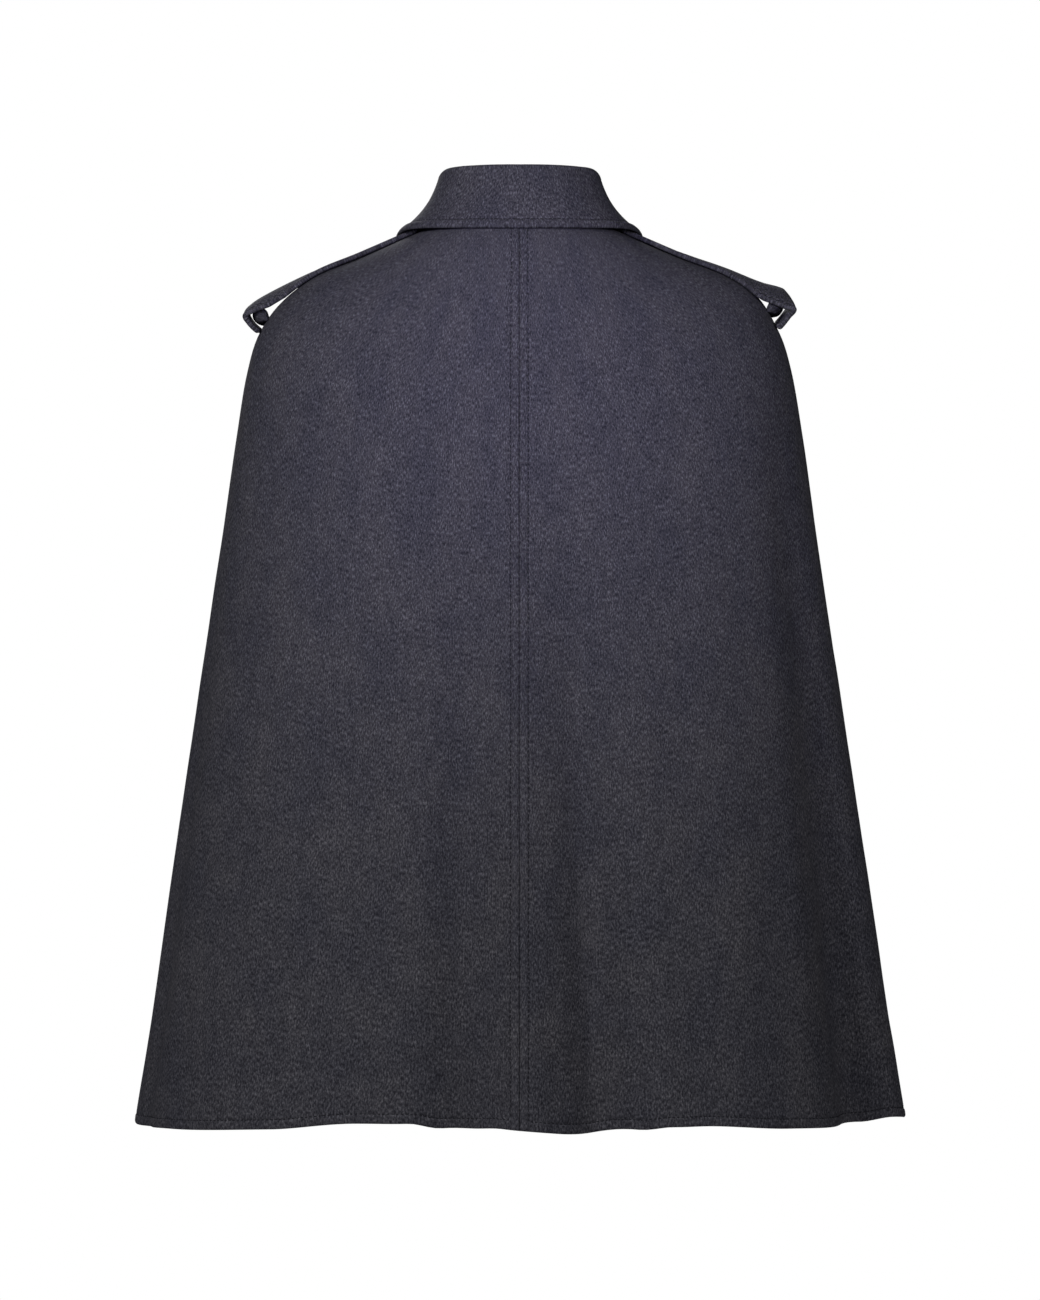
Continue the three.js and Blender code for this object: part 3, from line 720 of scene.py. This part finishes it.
def back_panel(side, hand):
    shares = inner_shares()
    edge = len(EDGE_OFFSETS)
    guess = np.concatenate(
        [np.zeros(edge), np.linspace(1, SIDE_SEAM - 1, BACK_COLUMNS), np.full(edge, SIDE_SEAM)]
    )
    count = len(guess)
    t = panel_rows(hand * guess, shares)
    centre = (SEAM_GAP / 2 + EDGE_OFFSETS[None]) / per_degree(0.0, t[:, :1])
    seam = SIDE_SEAM - (SEAM_GAP / 2 + EDGE_OFFSETS[::-1][None]) / per_degree(hand * 90.0, t[:, -1:])
    inner = (np.arange(1, BACK_COLUMNS + 1) / (BACK_COLUMNS + 1)) ** BACK_CROWDING
    angle = np.concatenate([centre, lerp(centre[:, -1:], seam[:, :1], inner[None]), seam], axis=1)
    across = edge_distance(count)
    down = edge_distance(len(t))
    distance = np.minimum(across[None], down[:, None])
    to_centre = np.where(np.arange(count) < count / 2, across, FAR)
    to_hem = np.where(np.arange(len(t)) > len(t) / 2, down, FAR)
    stitched = np.minimum(to_centre[None], to_hem[:, None])
    stitched = np.minimum(stitched, np.where(distance < ROUNDED_WITHIN, distance, FAR))
    faces = grid_faces(numbered(t.shape))
    piece, surface, normal = make_panel(
        f"back_{side}_cloth", hand, angle, t, distance, faces, stitched, np.zeros(t.shape)
    )
    lines = [
        (surface[STITCH_STEP:-STITCH_STEP, STITCH_STEP], normal[STITCH_STEP:-STITCH_STEP, STITCH_STEP]),
        (surface[-1 - STITCH_STEP, STITCH_STEP + 1 :], normal[-1 - STITCH_STEP, STITCH_STEP + 1 :]),
    ]
    stitches = stitch_rows(f"back_{side}_stitches", lines)
    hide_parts(f"back_{side}")
    return piece, stitches


def front_panel(side, hand):
    slit_rows = []
    for share, way in ((SLIT_FROM, -1), (SLIT_TO, 1)):
        reach = per_share(np.array([SLIT_ANGLE]), np.array([share]))[0]
        slit_rows += [share + way * offset / reach for offset in SLIT_OFFSETS]
        slit_rows += [share - way * offset / reach for offset in SLIT_OFFSETS[1:]]
    shares = inner_shares()
    apart = np.array([min(abs(share - row) for row in slit_rows) for share in shares]) * BODY_LENGTH
    shares = np.sort(np.concatenate([shares[apart > SLIT_CLEARANCE], slit_rows]))
    side_columns, middle_columns = FRONT_SIDE_COLUMNS, FRONT_MIDDLE_COLUMNS
    slit = len(SLIT_OFFSETS)
    edge = len(EDGE_OFFSETS)
    guess = np.concatenate(
        [
            np.full(edge, SIDE_SEAM),
            np.linspace(SIDE_SEAM + 2, SLIT_ANGLE - 2, side_columns),
            np.full(2 * slit, SLIT_ANGLE),
            np.linspace(SLIT_ANGLE + 2, CENTRE_FRONT + 3, middle_columns),
            np.full(edge, CENTRE_FRONT + 5),
        ]
    )
    t = panel_rows(hand * guess, shares)
    count = len(guess)
    along = np.clip((t - SLIT_FROM) / (SLIT_TO - SLIT_FROM), 0, 1)
    gape = (SLIT_GAPE / 2) * np.sin(np.pi * along)
    seam = SIDE_SEAM + (SEAM_GAP / 2 + EDGE_OFFSETS[None]) / per_degree(hand * 90.0, t[:, :1])
    at_slit = per_degree(hand * float(SLIT_ANGLE), t[:, edge + side_columns][:, None])
    lip_gape = gape[:, edge + side_columns][:, None]
    before = SLIT_ANGLE - (lip_gape + SLIT_OFFSETS[::-1][None]) / at_slit
    after = SLIT_ANGLE + (lip_gape + SLIT_OFFSETS[None]) / at_slit
    front_edge = CENTRE_FRONT + (OVERLAP - EDGE_OFFSETS[::-1][None]) / per_degree(180.0, t[:, -1:])
    side_share = np.arange(1, side_columns + 1)[None] / (side_columns + 1)
    middle_share = np.arange(1, middle_columns + 1)[None] / (middle_columns + 1)
    angle = np.concatenate(
        [
            seam,
            lerp(seam[:, -1:], before[:, :1], side_share),
            before,
            after,
            lerp(after[:, -1:], front_edge[:, :1], middle_share),
            front_edge,
        ],
        axis=1,
    )
    across = edge_distance(count)
    down = edge_distance(len(t))
    lips = np.full(count, float(FAR))
    left_lip = edge + side_columns + slit - 1
    lips[left_lip - slit + 1 : left_lip + 1] = SLIT_OFFSETS[::-1]
    lips[left_lip + 1 : left_lip + slit + 1] = SLIT_OFFSETS
    row_t = t[:, left_lip]
    reach = per_share(np.full(len(row_t), float(SLIT_ANGLE)), row_t)
    beyond = np.maximum(0, np.maximum(SLIT_FROM - row_t, row_t - SLIT_TO)) * reach
    to_slit = np.hypot(lips[None], beyond[:, None])
    distance = np.minimum(np.minimum(across[None], down[:, None]), to_slit)
    to_front = np.where(np.arange(count) > count / 2, across, FAR)
    to_hem = np.where(np.arange(len(t)) > len(t) / 2, down, FAR)
    stitched = np.minimum(to_front[None], to_hem[:, None])
    stitched = np.minimum(stitched, np.where(distance < ROUNDED_WITHIN, distance, FAR))
    under = hand > 0
    from_edge = (angle - CENTRE_FRONT) * per_degree(180.0, t) + OVERLAP
    sunk = (CLOTH + LAY_GAP) * smooth(from_edge, -UNDERLAP_RAMP, -2) if under else np.zeros(t.shape)
    in_slit = (row_t > SLIT_FROM + 1e-9) & (row_t < SLIT_TO - 1e-9)
    ids = numbered(t.shape)
    ids[~in_slit, left_lip + 1] = ids[~in_slit, left_lip]
    faces = np.concatenate([grid_faces(ids[:, : left_lip + 1]), grid_faces(ids[:, left_lip + 1 :])])
    piece, surface, normal = make_panel(
        f"front_{side}_cloth", hand, angle, t, distance, faces, stitched, sunk
    )
    from_stitches = np.abs(beyond - SLIT_OFFSETS[SLIT_STITCH_STEP])
    lower_half = row_t > (SLIT_FROM + SLIT_TO) / 2
    top = int(np.argmin(from_stitches + FAR * lower_half))
    foot = int(np.argmin(from_stitches + FAR * ~lower_half))
    first, last = left_lip - SLIT_STITCH_STEP, left_lip + 1 + SLIT_STITCH_STEP

    def ring(values):
        return np.concatenate(
            [
                values[top : foot + 1, first],
                values[foot, first + 1 : last + 1],
                values[top:foot, last][::-1],
                values[top, first:last][::-1],
            ]
        )

    step = STITCH_STEP
    lines = [
        (surface[step:-step, -1 - step], normal[step:-step, -1 - step]),
        (surface[-1 - step, : -1 - step], normal[-1 - step, : -1 - step]),
        (ring(surface), ring(normal)),
    ]
    stitches = stitch_rows(f"front_{side}_stitches", lines)
    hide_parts(f"front_{side}")
    return piece, stitches


# The collar


def station(key, share):
    values = [row[COLLAR_COLUMNS.index(key)] for row in COLLAR_STATIONS]
    last = len(values) - 1
    return curve([(i / last, value) for i, value in enumerate(values)])(share)[..., 1]


COLLAR_EDGE = np.array([0, 0.15, 0.5, 1, 1.6, 2.6, 4, 5.5, 6.8, 7.8, 8.4, 9, 9.6, 10.3, 12, 14])
COLLAR_STITCH_STEP = 11
COLLAR_HALF_LENGTH = 330
COLLAR_COLUMNS_EACH_SIDE = 110
STAND_OFFSETS = (0, 0.15, 0.5, 0.9, 1.4, 2.4)
ROLL_STEPS = 14
FALL_STEPS = 26
ROLL_ROW = 22  # the row of the fall's grid where the stitching along its ends starts


def collar_lines():
    """The middle points of the stand and the fall, as rows from the stand's foot to the fall's edge."""
    ends = COLLAR_EDGE / COLLAR_HALF_LENGTH
    inner = np.linspace(ends[-1], 1, COLLAR_COLUMNS_EACH_SIDE)[1:]
    share = 1 - np.concatenate([ends, inner])
    signed = np.concatenate([-share, share[::-1][1:]])
    share, hand = np.abs(signed), np.where(signed < 0, -1, 1)
    turn = hand * station("turn", share)
    edge_turn = hand * station("edge_turn", share)
    edge_t = station("edge_at", share)
    bow = station("bow", share)
    lift = station("lift", share)
    neck = cloth_point(turn, np.zeros(turn.shape))
    out = unit(neck * (1, 1, 0))
    up = np.array([0, 0, 1.0])
    foot = neck - out * (COLLAR_WALL / 2) + up * FOOT_GAP
    head = foot - out * station("lean", share)[:, None]
    head[:, 2] = station("roll_z", share) - ROLL_RADIUS - COLLAR_WALL / 2
    normal = cloth_normal(edge_turn, edge_t)
    edge = cloth_point(edge_turn, edge_t) + normal * (LAY_GAP + COLLAR_WALL / 2 + lift)[:, None]
    seam = head - up * STAND_SEAM_DROP
    along = unit(seam - foot)
    stand = [foot + along * d for d in STAND_OFFSETS]
    stand += [lerp(foot, seam, s) for s in np.linspace(0.1, 0.9, 9)]
    stand += [seam - along * d for d in STAND_OFFSETS[::-1]]
    seam_above = seam + up * SEAM_GAP
    fall = [seam_above + (head - seam_above) * s for s in (0, 0.02, 0.06, 0.12, 0.19, 0.35, 0.6, 0.85)]
    heart = head + out * ROLL_RADIUS
    for i in range(ROLL_STEPS + 1):
        around = math.pi * (1 - i / ROLL_STEPS)
        fall.append(heart + out * (ROLL_RADIUS * math.cos(around)) + up * (ROLL_RADIUS * math.sin(around)))
    start = fall[-1]
    bend = lerp(start, edge, 0.5) - out * (2 * bow)[:, None] - up * bow[:, None]
    length = np.linalg.norm(edge - start, axis=-1)
    offsets = COLLAR_EDGE[::-1][:, None] / length[None]
    inner = np.linspace(0, 1, FALL_STEPS)[1:-1, None] * (1 - offsets[:1])
    for s in np.concatenate([inner, 1 - offsets]):
        w = s[:, None]
        point = (1 - w) ** 2 * start + 2 * w * (1 - w) * bend + w**2 * edge
        gap = LAY_GAP + COLLAR_WALL / 2 + lift * s
        fall.append(clear_of_body(point, lerp(turn, edge_turn, s), edge_t * s, gap))
    return np.array(stand), np.array(fall)


def wall_distance(middle):
    """Distances to the edges of a grid, down and across, from its own spacing."""

    def reach(grid):
        steps = np.linalg.norm(np.diff(grid, axis=0), axis=-1)
        ahead = np.concatenate([np.zeros((1, grid.shape[1])), np.cumsum(steps, axis=0)])
        return np.minimum(ahead, ahead[-1:] - ahead)

    return reach(middle), reach(middle.transpose(1, 0, 2)).T


def collar_pieces():
    made = []
    for name, middle in zip(("collar_stand", "collar_fall"), collar_lines()):
        normal = grid_normals(middle)
        down, across = wall_distance(middle)
        distance = np.minimum(down, across)
        round_half = rounded(distance, COLLAR_WALL / 2)
        outer_half = round_half
        if name == "collar_fall":
            normal = -normal  # the fall is turned over
            rows = np.arange(len(middle))[:, None]
            to_edge = np.where(rows > len(middle) / 2, down, FAR)
            to_end = np.where(rows > 8, across, FAR)
            outer_half = sewn(round_half, np.minimum(to_edge, to_end), COLLAR_SEWING)
            wave = 0.5 * soft_noise(middle + 90, (60, 60, 40)) * smooth(distance, 0, 10)
            middle = middle + normal * np.maximum(wave, 0)[..., None]  # only away from the body
        border = grid_border(middle)
        faces = grid_faces(numbered(border.shape))
        uv = grid_uv(middle)
        piece = cloth_wall(f"{name}_cloth", middle, normal, outer_half, round_half, border, faces, uv)
        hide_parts(name)
        made.append(piece)
        if name == "collar_fall":
            surface = middle + normal * outer_half[..., None]
            step = COLLAR_STITCH_STEP
            row = len(middle) - 1 - step

            def turned(values):
                far_end = values[ROLL_ROW : row + 1, -1 - step][::-1]
                return np.concatenate([values[ROLL_ROW:row, step], values[row, step : -1 - step], far_end])

            made.append(stitch_rows("collar_stitches", [(turned(surface), turned(normal))]))
    return made


# Shoulder straps and the bars in their folds


STRAP_EDGE = np.array([0, 0.15, 0.5, 1, 1.6, 2.4, 3.4, 3.9, 4.5, 5.1, 6, 7.5])
STRAP_STITCH_STEP = 8
STRAP_ROWS = 130


def strap_middle(strap):
    """The grid of a strap's middle points, from its inner end to the end that is sewn down."""
    hand = strap["hand"]
    rows = [dict(zip(STRAP_COLUMNS, row)) for row in strap["line"]]
    angle = np.array(hand * SIDE_SEAM, float)
    end_at = np.array(strap["end_at"])
    lift = cloth_normal(angle, end_at)
    seat = cloth_point(angle, end_at)
    last = rows[-1]
    points = [np.array((hand * r["x"], r["y"], r["z"]), float) for r in rows]
    high = seat + lift * (STRAP / 2 + LAY_GAP)
    high[1] = last["y"] / 2
    points += [high, seat + lift * LAY_GAP]
    line = curve(points)
    shape = rows + [last, {**last, "tilt": 0}]
    share = np.linspace(0, 1, STRAP_ROWS + 1)
    place = share * (len(shape) - 1)
    knots = np.arange(len(shape))
    tilt = np.radians(np.interp(place, knots, [r["tilt"] for r in shape]))
    half = np.interp(place, knots, [r["half"] for r in shape])
    drop = np.interp(place, knots, [r["drop"] for r in shape])
    across = np.stack([np.zeros(tilt.shape), np.cos(tilt), -np.sin(tilt)], axis=-1)
    centre = line(share)
    inner = np.linspace(-1, 1, 15)[1:-1]
    offsets = STRAP_EDGE[None] / half[:, None]
    beside = 1 - offsets[:, -1:]
    columns = np.concatenate([-(1 - offsets), inner[None] * beside, (1 - offsets)[:, ::-1]], axis=1)
    middle = centre[:, None] + across[:, None] * (columns * half[:, None])[..., None]
    middle[..., 2] -= drop[:, None] * columns**2
    guess_angle = hand * (SIDE_SEAM - 10 * columns)
    guess_t = 0.1 + 0.28 * share[:, None]
    moved = clear_of_body(middle, guess_angle, guess_t, STRAP / 2 + LAY_GAP)
    sewn_down = (place > len(rows) - 1)[:, None, None]
    return np.where(sewn_down, middle, moved), columns, half


def strap_pieces(side):
    strap = STRAPS[side]
    middle, columns, half = strap_middle(strap)
    normal = strap["hand"] * grid_normals(middle)
    down, _ = wall_distance(middle)
    across = (1 - np.abs(columns)) * half[:, None]
    wall = rounded(np.minimum(down, across), STRAP / 2)
    shaped = sewn(wall, np.minimum(across, FAR), STRAP_SEWING)
    border = grid_border(middle)
    faces = grid_faces(numbered(border.shape))
    uv = grid_uv(middle)[..., ::-1]
    piece = cloth_wall(f"strap_{side}_cloth", middle, normal, shaped, wall, border, faces, uv)
    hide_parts(f"strap_{side}")
    outer = middle + normal * shaped[..., None]
    step = STRAP_STITCH_STEP
    lines = [(outer[4:-4, step], normal[4:-4, step]), (outer[4:-4, -1 - step], normal[4:-4, -1 - step])]
    stitches = stitch_rows(f"strap_{side}_stitches", lines)
    return piece, stitches


BAR_STEPS = 72
BAR_SIDES = 40
BAR_SEAT = 0.3
BAR_SWELL = 0.03
BAR_GROOVE = {"turn": 2.2, "width": 0.16, "depth": 0.12}
BAR_CAP = (0.8, 0.45, 0.12)  # the rings of each end, as shares of the bar's last ring
BAR_CAP_OUT = 0.5


def bar_piece(side):
    strap = STRAPS[side]
    across = np.linspace(-1, 1, BAR_STEPS + 1)
    angle = strap["hand"] * (SIDE_SEAM + BAR_SPREAD * across)
    t = np.full(angle.shape, strap["bar_at"])
    radius = lerp(BAR_RADIUS, BAR_END_RADIUS, np.abs(across) ** 4)
    lift = cloth_normal(angle, t)
    path = cloth_point(angle, t) + lift * (radius + BAR_SEAT)[:, None]
    ahead = unit(np.gradient(path, axis=0))
    sideways = np.cross(ahead, lift)
    turn = np.linspace(0, 2 * math.pi, BAR_SIDES, endpoint=False)
    groove = 1 - BAR_GROOVE["depth"] * np.exp(-(((turn - BAR_GROOVE["turn"]) / BAR_GROOVE["width"]) ** 2))
    rings = []
    for i in range(BAR_STEPS + 1):
        swell = 1 + BAR_SWELL * np.sin(3 * turn + 9 * across[i])
        ring_radius = (radius[i] * np.minimum(1, swell * groove))[:, None]
        outward = np.cos(turn)[:, None] * ring_radius * lift[i]
        rings.append(path[i] + outward + np.sin(turn)[:, None] * ring_radius * sideways[i])

    def cap(end, way):
        return [
            path[end] + (rings[end] - path[end]) * share + ahead[end] * (way * BAR_CAP_OUT * (1 - share))
            for share in BAR_CAP
        ]

    rings = np.array(cap(0, -1)[::-1] + rings + cap(-1, 1))
    length = np.concatenate([[0], np.cumsum(np.linalg.norm(np.diff(rings.mean(axis=1), axis=0), axis=-1))])
    uv = np.stack(np.broadcast_arrays(turn[None] * BAR_RADIUS, length[:, None]), axis=-1).reshape(-1, 2)
    faces = tube_faces(len(rings), BAR_SIDES)
    # The bar takes the darker copy of the wool, whose darkness is painted shade under the strap's fold.
    piece = make_piece(f"strap_bar_{side}_cloth", rings.reshape(-1, 3), faces, wool_painted_shade, uv)
    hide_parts(f"strap_bar_{side}")
    return piece


# Buttons and buttonholes


BUTTON_SIDES = 72
HOLE_SIDES = 20
HOLE_RADIUS = 1.1
HOLE_CIRCLE = 0.26 * BUTTON_RADIUS
# The profile of the button, as shares of its radius and of its thickness
BUTTON_PROFILE = (
    (0, 0), (0.5, 0), (0.78, 0.01), (0.9, 0.16), (0.98, 0.36), (1, 0.52), (0.995, 0.7), (0.965, 0.86),
    (0.92, 0.96), (0.86, 1), (0.8, 0.965), (0.74, 0.86), (0.68, 0.74), (0.6, 0.68), (0.4, 0.64), (0, 0.62),
)  # fmt: skip


PROFILE_STEPS = 40


def button_mesh():
    """A dished button with four holes, its back on z = 0, in metres."""
    turn = np.linspace(0, 2 * math.pi, BUTTON_SIDES, endpoint=False)
    corners = [(r * BUTTON_RADIUS, 0, z * BUTTON_THICK) for r, z in BUTTON_PROFILE[1:-1]]
    line = curve(corners)(np.linspace(0, 1, PROFILE_STEPS))
    x, y = np.cos(turn), np.sin(turn)
    rings = [np.stack([r * x, r * y, np.full(BUTTON_SIDES, z)], axis=-1) for r, _, z in line]
    faces = tube_faces(len(rings), BUTTON_SIDES)
    disc = add_object("button_disc", new_mesh("button_disc", np.concatenate(rings), faces))
    drills = []
    for i in range(4):
        away = math.pi / 2 * (i + 0.5)
        around = np.linspace(0, 2 * math.pi, HOLE_SIDES, endpoint=False)
        x = HOLE_CIRCLE * math.cos(away) + HOLE_RADIUS * np.cos(around)
        y = HOLE_CIRCLE * math.sin(away) + HOLE_RADIUS * np.sin(around)
        reach = 2 * BUTTON_THICK
        ends = np.concatenate([np.stack([x, y, np.full(HOLE_SIDES, z)], axis=-1) for z in (-reach, reach)])
        drill = add_object("drill", new_mesh("drill", ends, tube_faces(2, HOLE_SIDES)))
        cut = disc.modifiers.new("hole", "BOOLEAN")
        cut.operation = "DIFFERENCE"
        cut.object = drill
        drills.append(drill)
    bpy.context.view_layer.update()
    cut_mesh = bpy.data.meshes.new_from_object(disc.evaluated_get(bpy.context.evaluated_depsgraph_get()))
    for done in (disc, *drills):
        bpy.data.objects.remove(done)
    return cut_mesh


def share_at_height(angle, height):
    above, below = 0.0, 1.0
    while below - above > 1e-4:
        middle = (above + below) / 2
        if cloth_point(angle, middle)[2] > height:
            above = middle
        else:
            below = middle
    return above


BUTTON_SEAT = 0.3
BUTTON_SHARP = 38  # degrees between faces that meet in a sharp edge
BUTTON_DISH = 0.64  # the height of the dish, as a share of the thickness
STRANDS = ((-0.42, 0.05), (0, 0.18), (0.42, 0.05))  # aside of the holes' line, and up
STRAND_PAST = 1.3
STRAND_RADIUS = 0.26
STRAND_RISE = 0.32
BUTTONHOLE_REACH = 24  # from the centre line, away from the edge
BUTTONHOLE_PAST = 3
BUTTONHOLE_HALF = 1.5
BUTTONHOLE_LIP = 0.75
BUTTONHOLE_PITCH = 0.85
BUTTONHOLE_UP = 0.15
BUTTONHOLE_OUT = 0.5
BUTTONHOLE_STITCH = (2.2, 0.36, 0.12)  # length, radius and rise


def buttonhole_line():
    """Points and outward directions round a buttonhole, as millimetres across and up."""
    low, high = -BUTTONHOLE_REACH + BUTTONHOLE_HALF, BUTTONHOLE_PAST - BUTTONHOLE_HALF
    straight = np.arange(low, high, BUTTONHOLE_PITCH)
    found = [(x, side * BUTTONHOLE_LIP, 0, side) for x in straight for side in (-1, 1)]
    for end, way in ((low, -1), (high, 1)):
        for turn in np.linspace(-math.pi / 2, math.pi / 2, 7)[1:-1]:
            x, z = way * math.cos(turn), math.sin(turn)
            found.append((end + x * BUTTONHOLE_LIP, z * BUTTONHOLE_LIP, x, z))
    return np.array(found)


def add_buttons():
    shape = button_mesh()
    hole_line = buttonhole_line()
    for i, height in enumerate(BUTTON_HEIGHTS):
        t = share_at_height(180.0, height)
        point, up = cloth_point(180.0, t), cloth_normal(180.0, t)
        aside = unit(np.cross(np.array([0, 0, 1.0]), up))
        above = np.cross(up, aside)
        name = f"front_button_{i + 1}"
        mesh = shape.copy()
        coordinates = np.zeros(len(mesh.vertices) * 3)
        mesh.vertices.foreach_get("co", coordinates)
        turned = coordinates.reshape(-1, 3) @ np.stack([aside, above, up]) + (point + up * BUTTON_SEAT) / 1000
        mesh.vertices.foreach_set("co", turned.ravel())
        make_smooth(mesh)
        mesh.materials.clear()
        mesh.materials.append(horn)
        mesh.set_sharp_from_angle(angle=math.radians(BUTTON_SHARP))
        button = add_object(f"{name}_horn", mesh)
        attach(button, "root")
        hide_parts(name)
        face = point + up * (BUTTON_SEAT + BUTTON_DISH * BUTTON_THICK)
        half = HOLE_CIRCLE * math.sqrt(0.5)
        centres = []
        for side in (-1, 1):
            centres += [face + above * (side * half + beside) + up * high for beside, high in STRANDS]
        ahead, ups = (np.repeat(way[None], len(centres), axis=0) for way in (aside, up))
        strand = (2 * half + STRAND_PAST, STRAND_RADIUS, STRAND_RISE)
        lay_stitches(f"{name}_thread", np.array(centres), ahead, ups, strand)
        across, along = hole_line[:, 0], hole_line[:, 1]
        angles = 180.0 + across / per_degree(180.0, t)
        spots = cloth_point(-angles, np.full(angles.shape, t))
        normals = cloth_normal(-angles, np.full(angles.shape, t))
        out = aside * hole_line[:, 2:3] + above * hole_line[:, 3:4]
        spots = spots + above * along[:, None] + normals * BUTTONHOLE_UP + out * BUTTONHOLE_OUT
        lay_stitches(f"{name}_buttonhole", spots, out, normals, BUTTONHOLE_STITCH)


# The pieces themselves


for side, hand in (("left", 1), ("right", -1)):
    for kind, make in (("back", back_panel), ("front", front_panel)):
        cloth, sewing = make(side, hand)
    strap_cloth, strap_sewing = strap_pieces(side)
    bar_piece(side)
add_buttons()
stand_cloth, fall_cloth, collar_sewing = collar_pieces()


# Stage, camera and light


FLOOR_RADIUS = 1500
FLOOR_HEIGHT = -1550
FLOOR_SIDES = 96


def make_stage():
    turn = np.linspace(0, 2 * math.pi, FLOOR_SIDES, endpoint=False)
    across, along = FLOOR_RADIUS * np.cos(turn), FLOOR_RADIUS * np.sin(turn)
    points = np.stack([across, along, np.full(FLOOR_SIDES, float(FLOOR_HEIGHT))], axis=-1)
    mesh = new_mesh("floor", points, [tuple(range(FLOOR_SIDES))])
    material, nodes, links, shader = new_material("floor")
    place = nodes.new("ShaderNodeTexCoord").outputs["Object"]
    tone = noise_at(nodes, links, place, (1, 1, 1), 3, 3)
    greys = ramp(nodes, links, tone, ((0.3, (0.6, 0.6, 0.6)), (0.7, (0.64, 0.64, 0.64))))
    links.new(greys, shader.inputs["Base Color"])
    shader.inputs["Roughness"].default_value = 0.9
    mesh.materials.append(material)
    add_object("floor", mesh)


def add_light(name, place, aim, size, power, colour=(1, 1, 1), spread=180):
    """An area light in metres and watts, whose beam opens by spread degrees."""
    light = bpy.data.lights.new(name, "AREA")
    light.shape = "DISK"
    light.size = size
    light.energy = power
    light.color = colour
    light.spread = math.radians(spread)
    lamp = add_object(name, light)
    lamp.location = place
    lamp.rotation_euler = (Vector(aim) - Vector(place)).to_track_quat("-Z", "Y").to_euler()
    lamp.visible_camera = False


def add_world():
    world = bpy.data.worlds.new("studio")
    world.use_nodes = True
    nodes, links = world.node_tree.nodes, world.node_tree.links
    soft = nodes["Background"]
    soft.inputs["Color"].default_value = (1, 1, 1, 1)
    soft.inputs["Strength"].default_value = 0.0
    seen = nodes.new("ShaderNodeBackground")
    seen.inputs["Color"].default_value = (1, 1, 1, 1)
    seen.inputs["Strength"].default_value = 1.0
    path = nodes.new("ShaderNodeLightPath")
    mix = nodes.new("ShaderNodeMixShader")
    links.new(path.outputs["Is Camera Ray"], mix.inputs["Fac"])
    links.new(soft.outputs["Background"], mix.inputs[1])
    links.new(seen.outputs["Background"], mix.inputs[2])
    links.new(mix.outputs["Shader"], nodes["World Output"].inputs["Surface"])
    bpy.context.scene.world = world


CAMERA_DISTANCE = 3.6
CAMERA_ASIDE = -0.00044  # half a pixel
CAMERA_HEIGHT = -0.375
FRAME_HEIGHT = 1.144  # metres of the picture's height at the coat's middle
SENSOR = 36
camera_data = bpy.data.cameras.new("camera")
camera_data.sensor_width = SENSOR
camera_data.lens = SENSOR * CAMERA_DISTANCE / FRAME_HEIGHT
camera = add_object("camera", camera_data)
camera.location = (CAMERA_ASIDE, CAMERA_DISTANCE, CAMERA_HEIGHT)
camera.rotation_euler = (math.pi / 2, 0, math.pi)
bpy.context.scene.camera = camera
bpy.context.scene.view_settings.view_transform = "Standard"
make_stage()
add_world()
add_light("key", (1.7, 2.1, 0.8), (0, 0.1, -0.3), 0.5, 44)
add_light("fill", (-2.3, 1.6, 0.3), (-0.2, 0.1, -0.3), 0.6, 19)
add_light("centre", (0, 0.95, -0.02), (0, 0.1, -0.2), 0.3, 1.8)
add_light("high", (0, 0.75, 0.02), (0, 0.1, -0.13), 0.25, 0.28, (0.84, 0.75, 1.42), spread=70)
add_light("front", (0.6, -3.0, 1.6), (0, 0, -0.3), 1.6, 120)

bpy.context.view_layer.update()
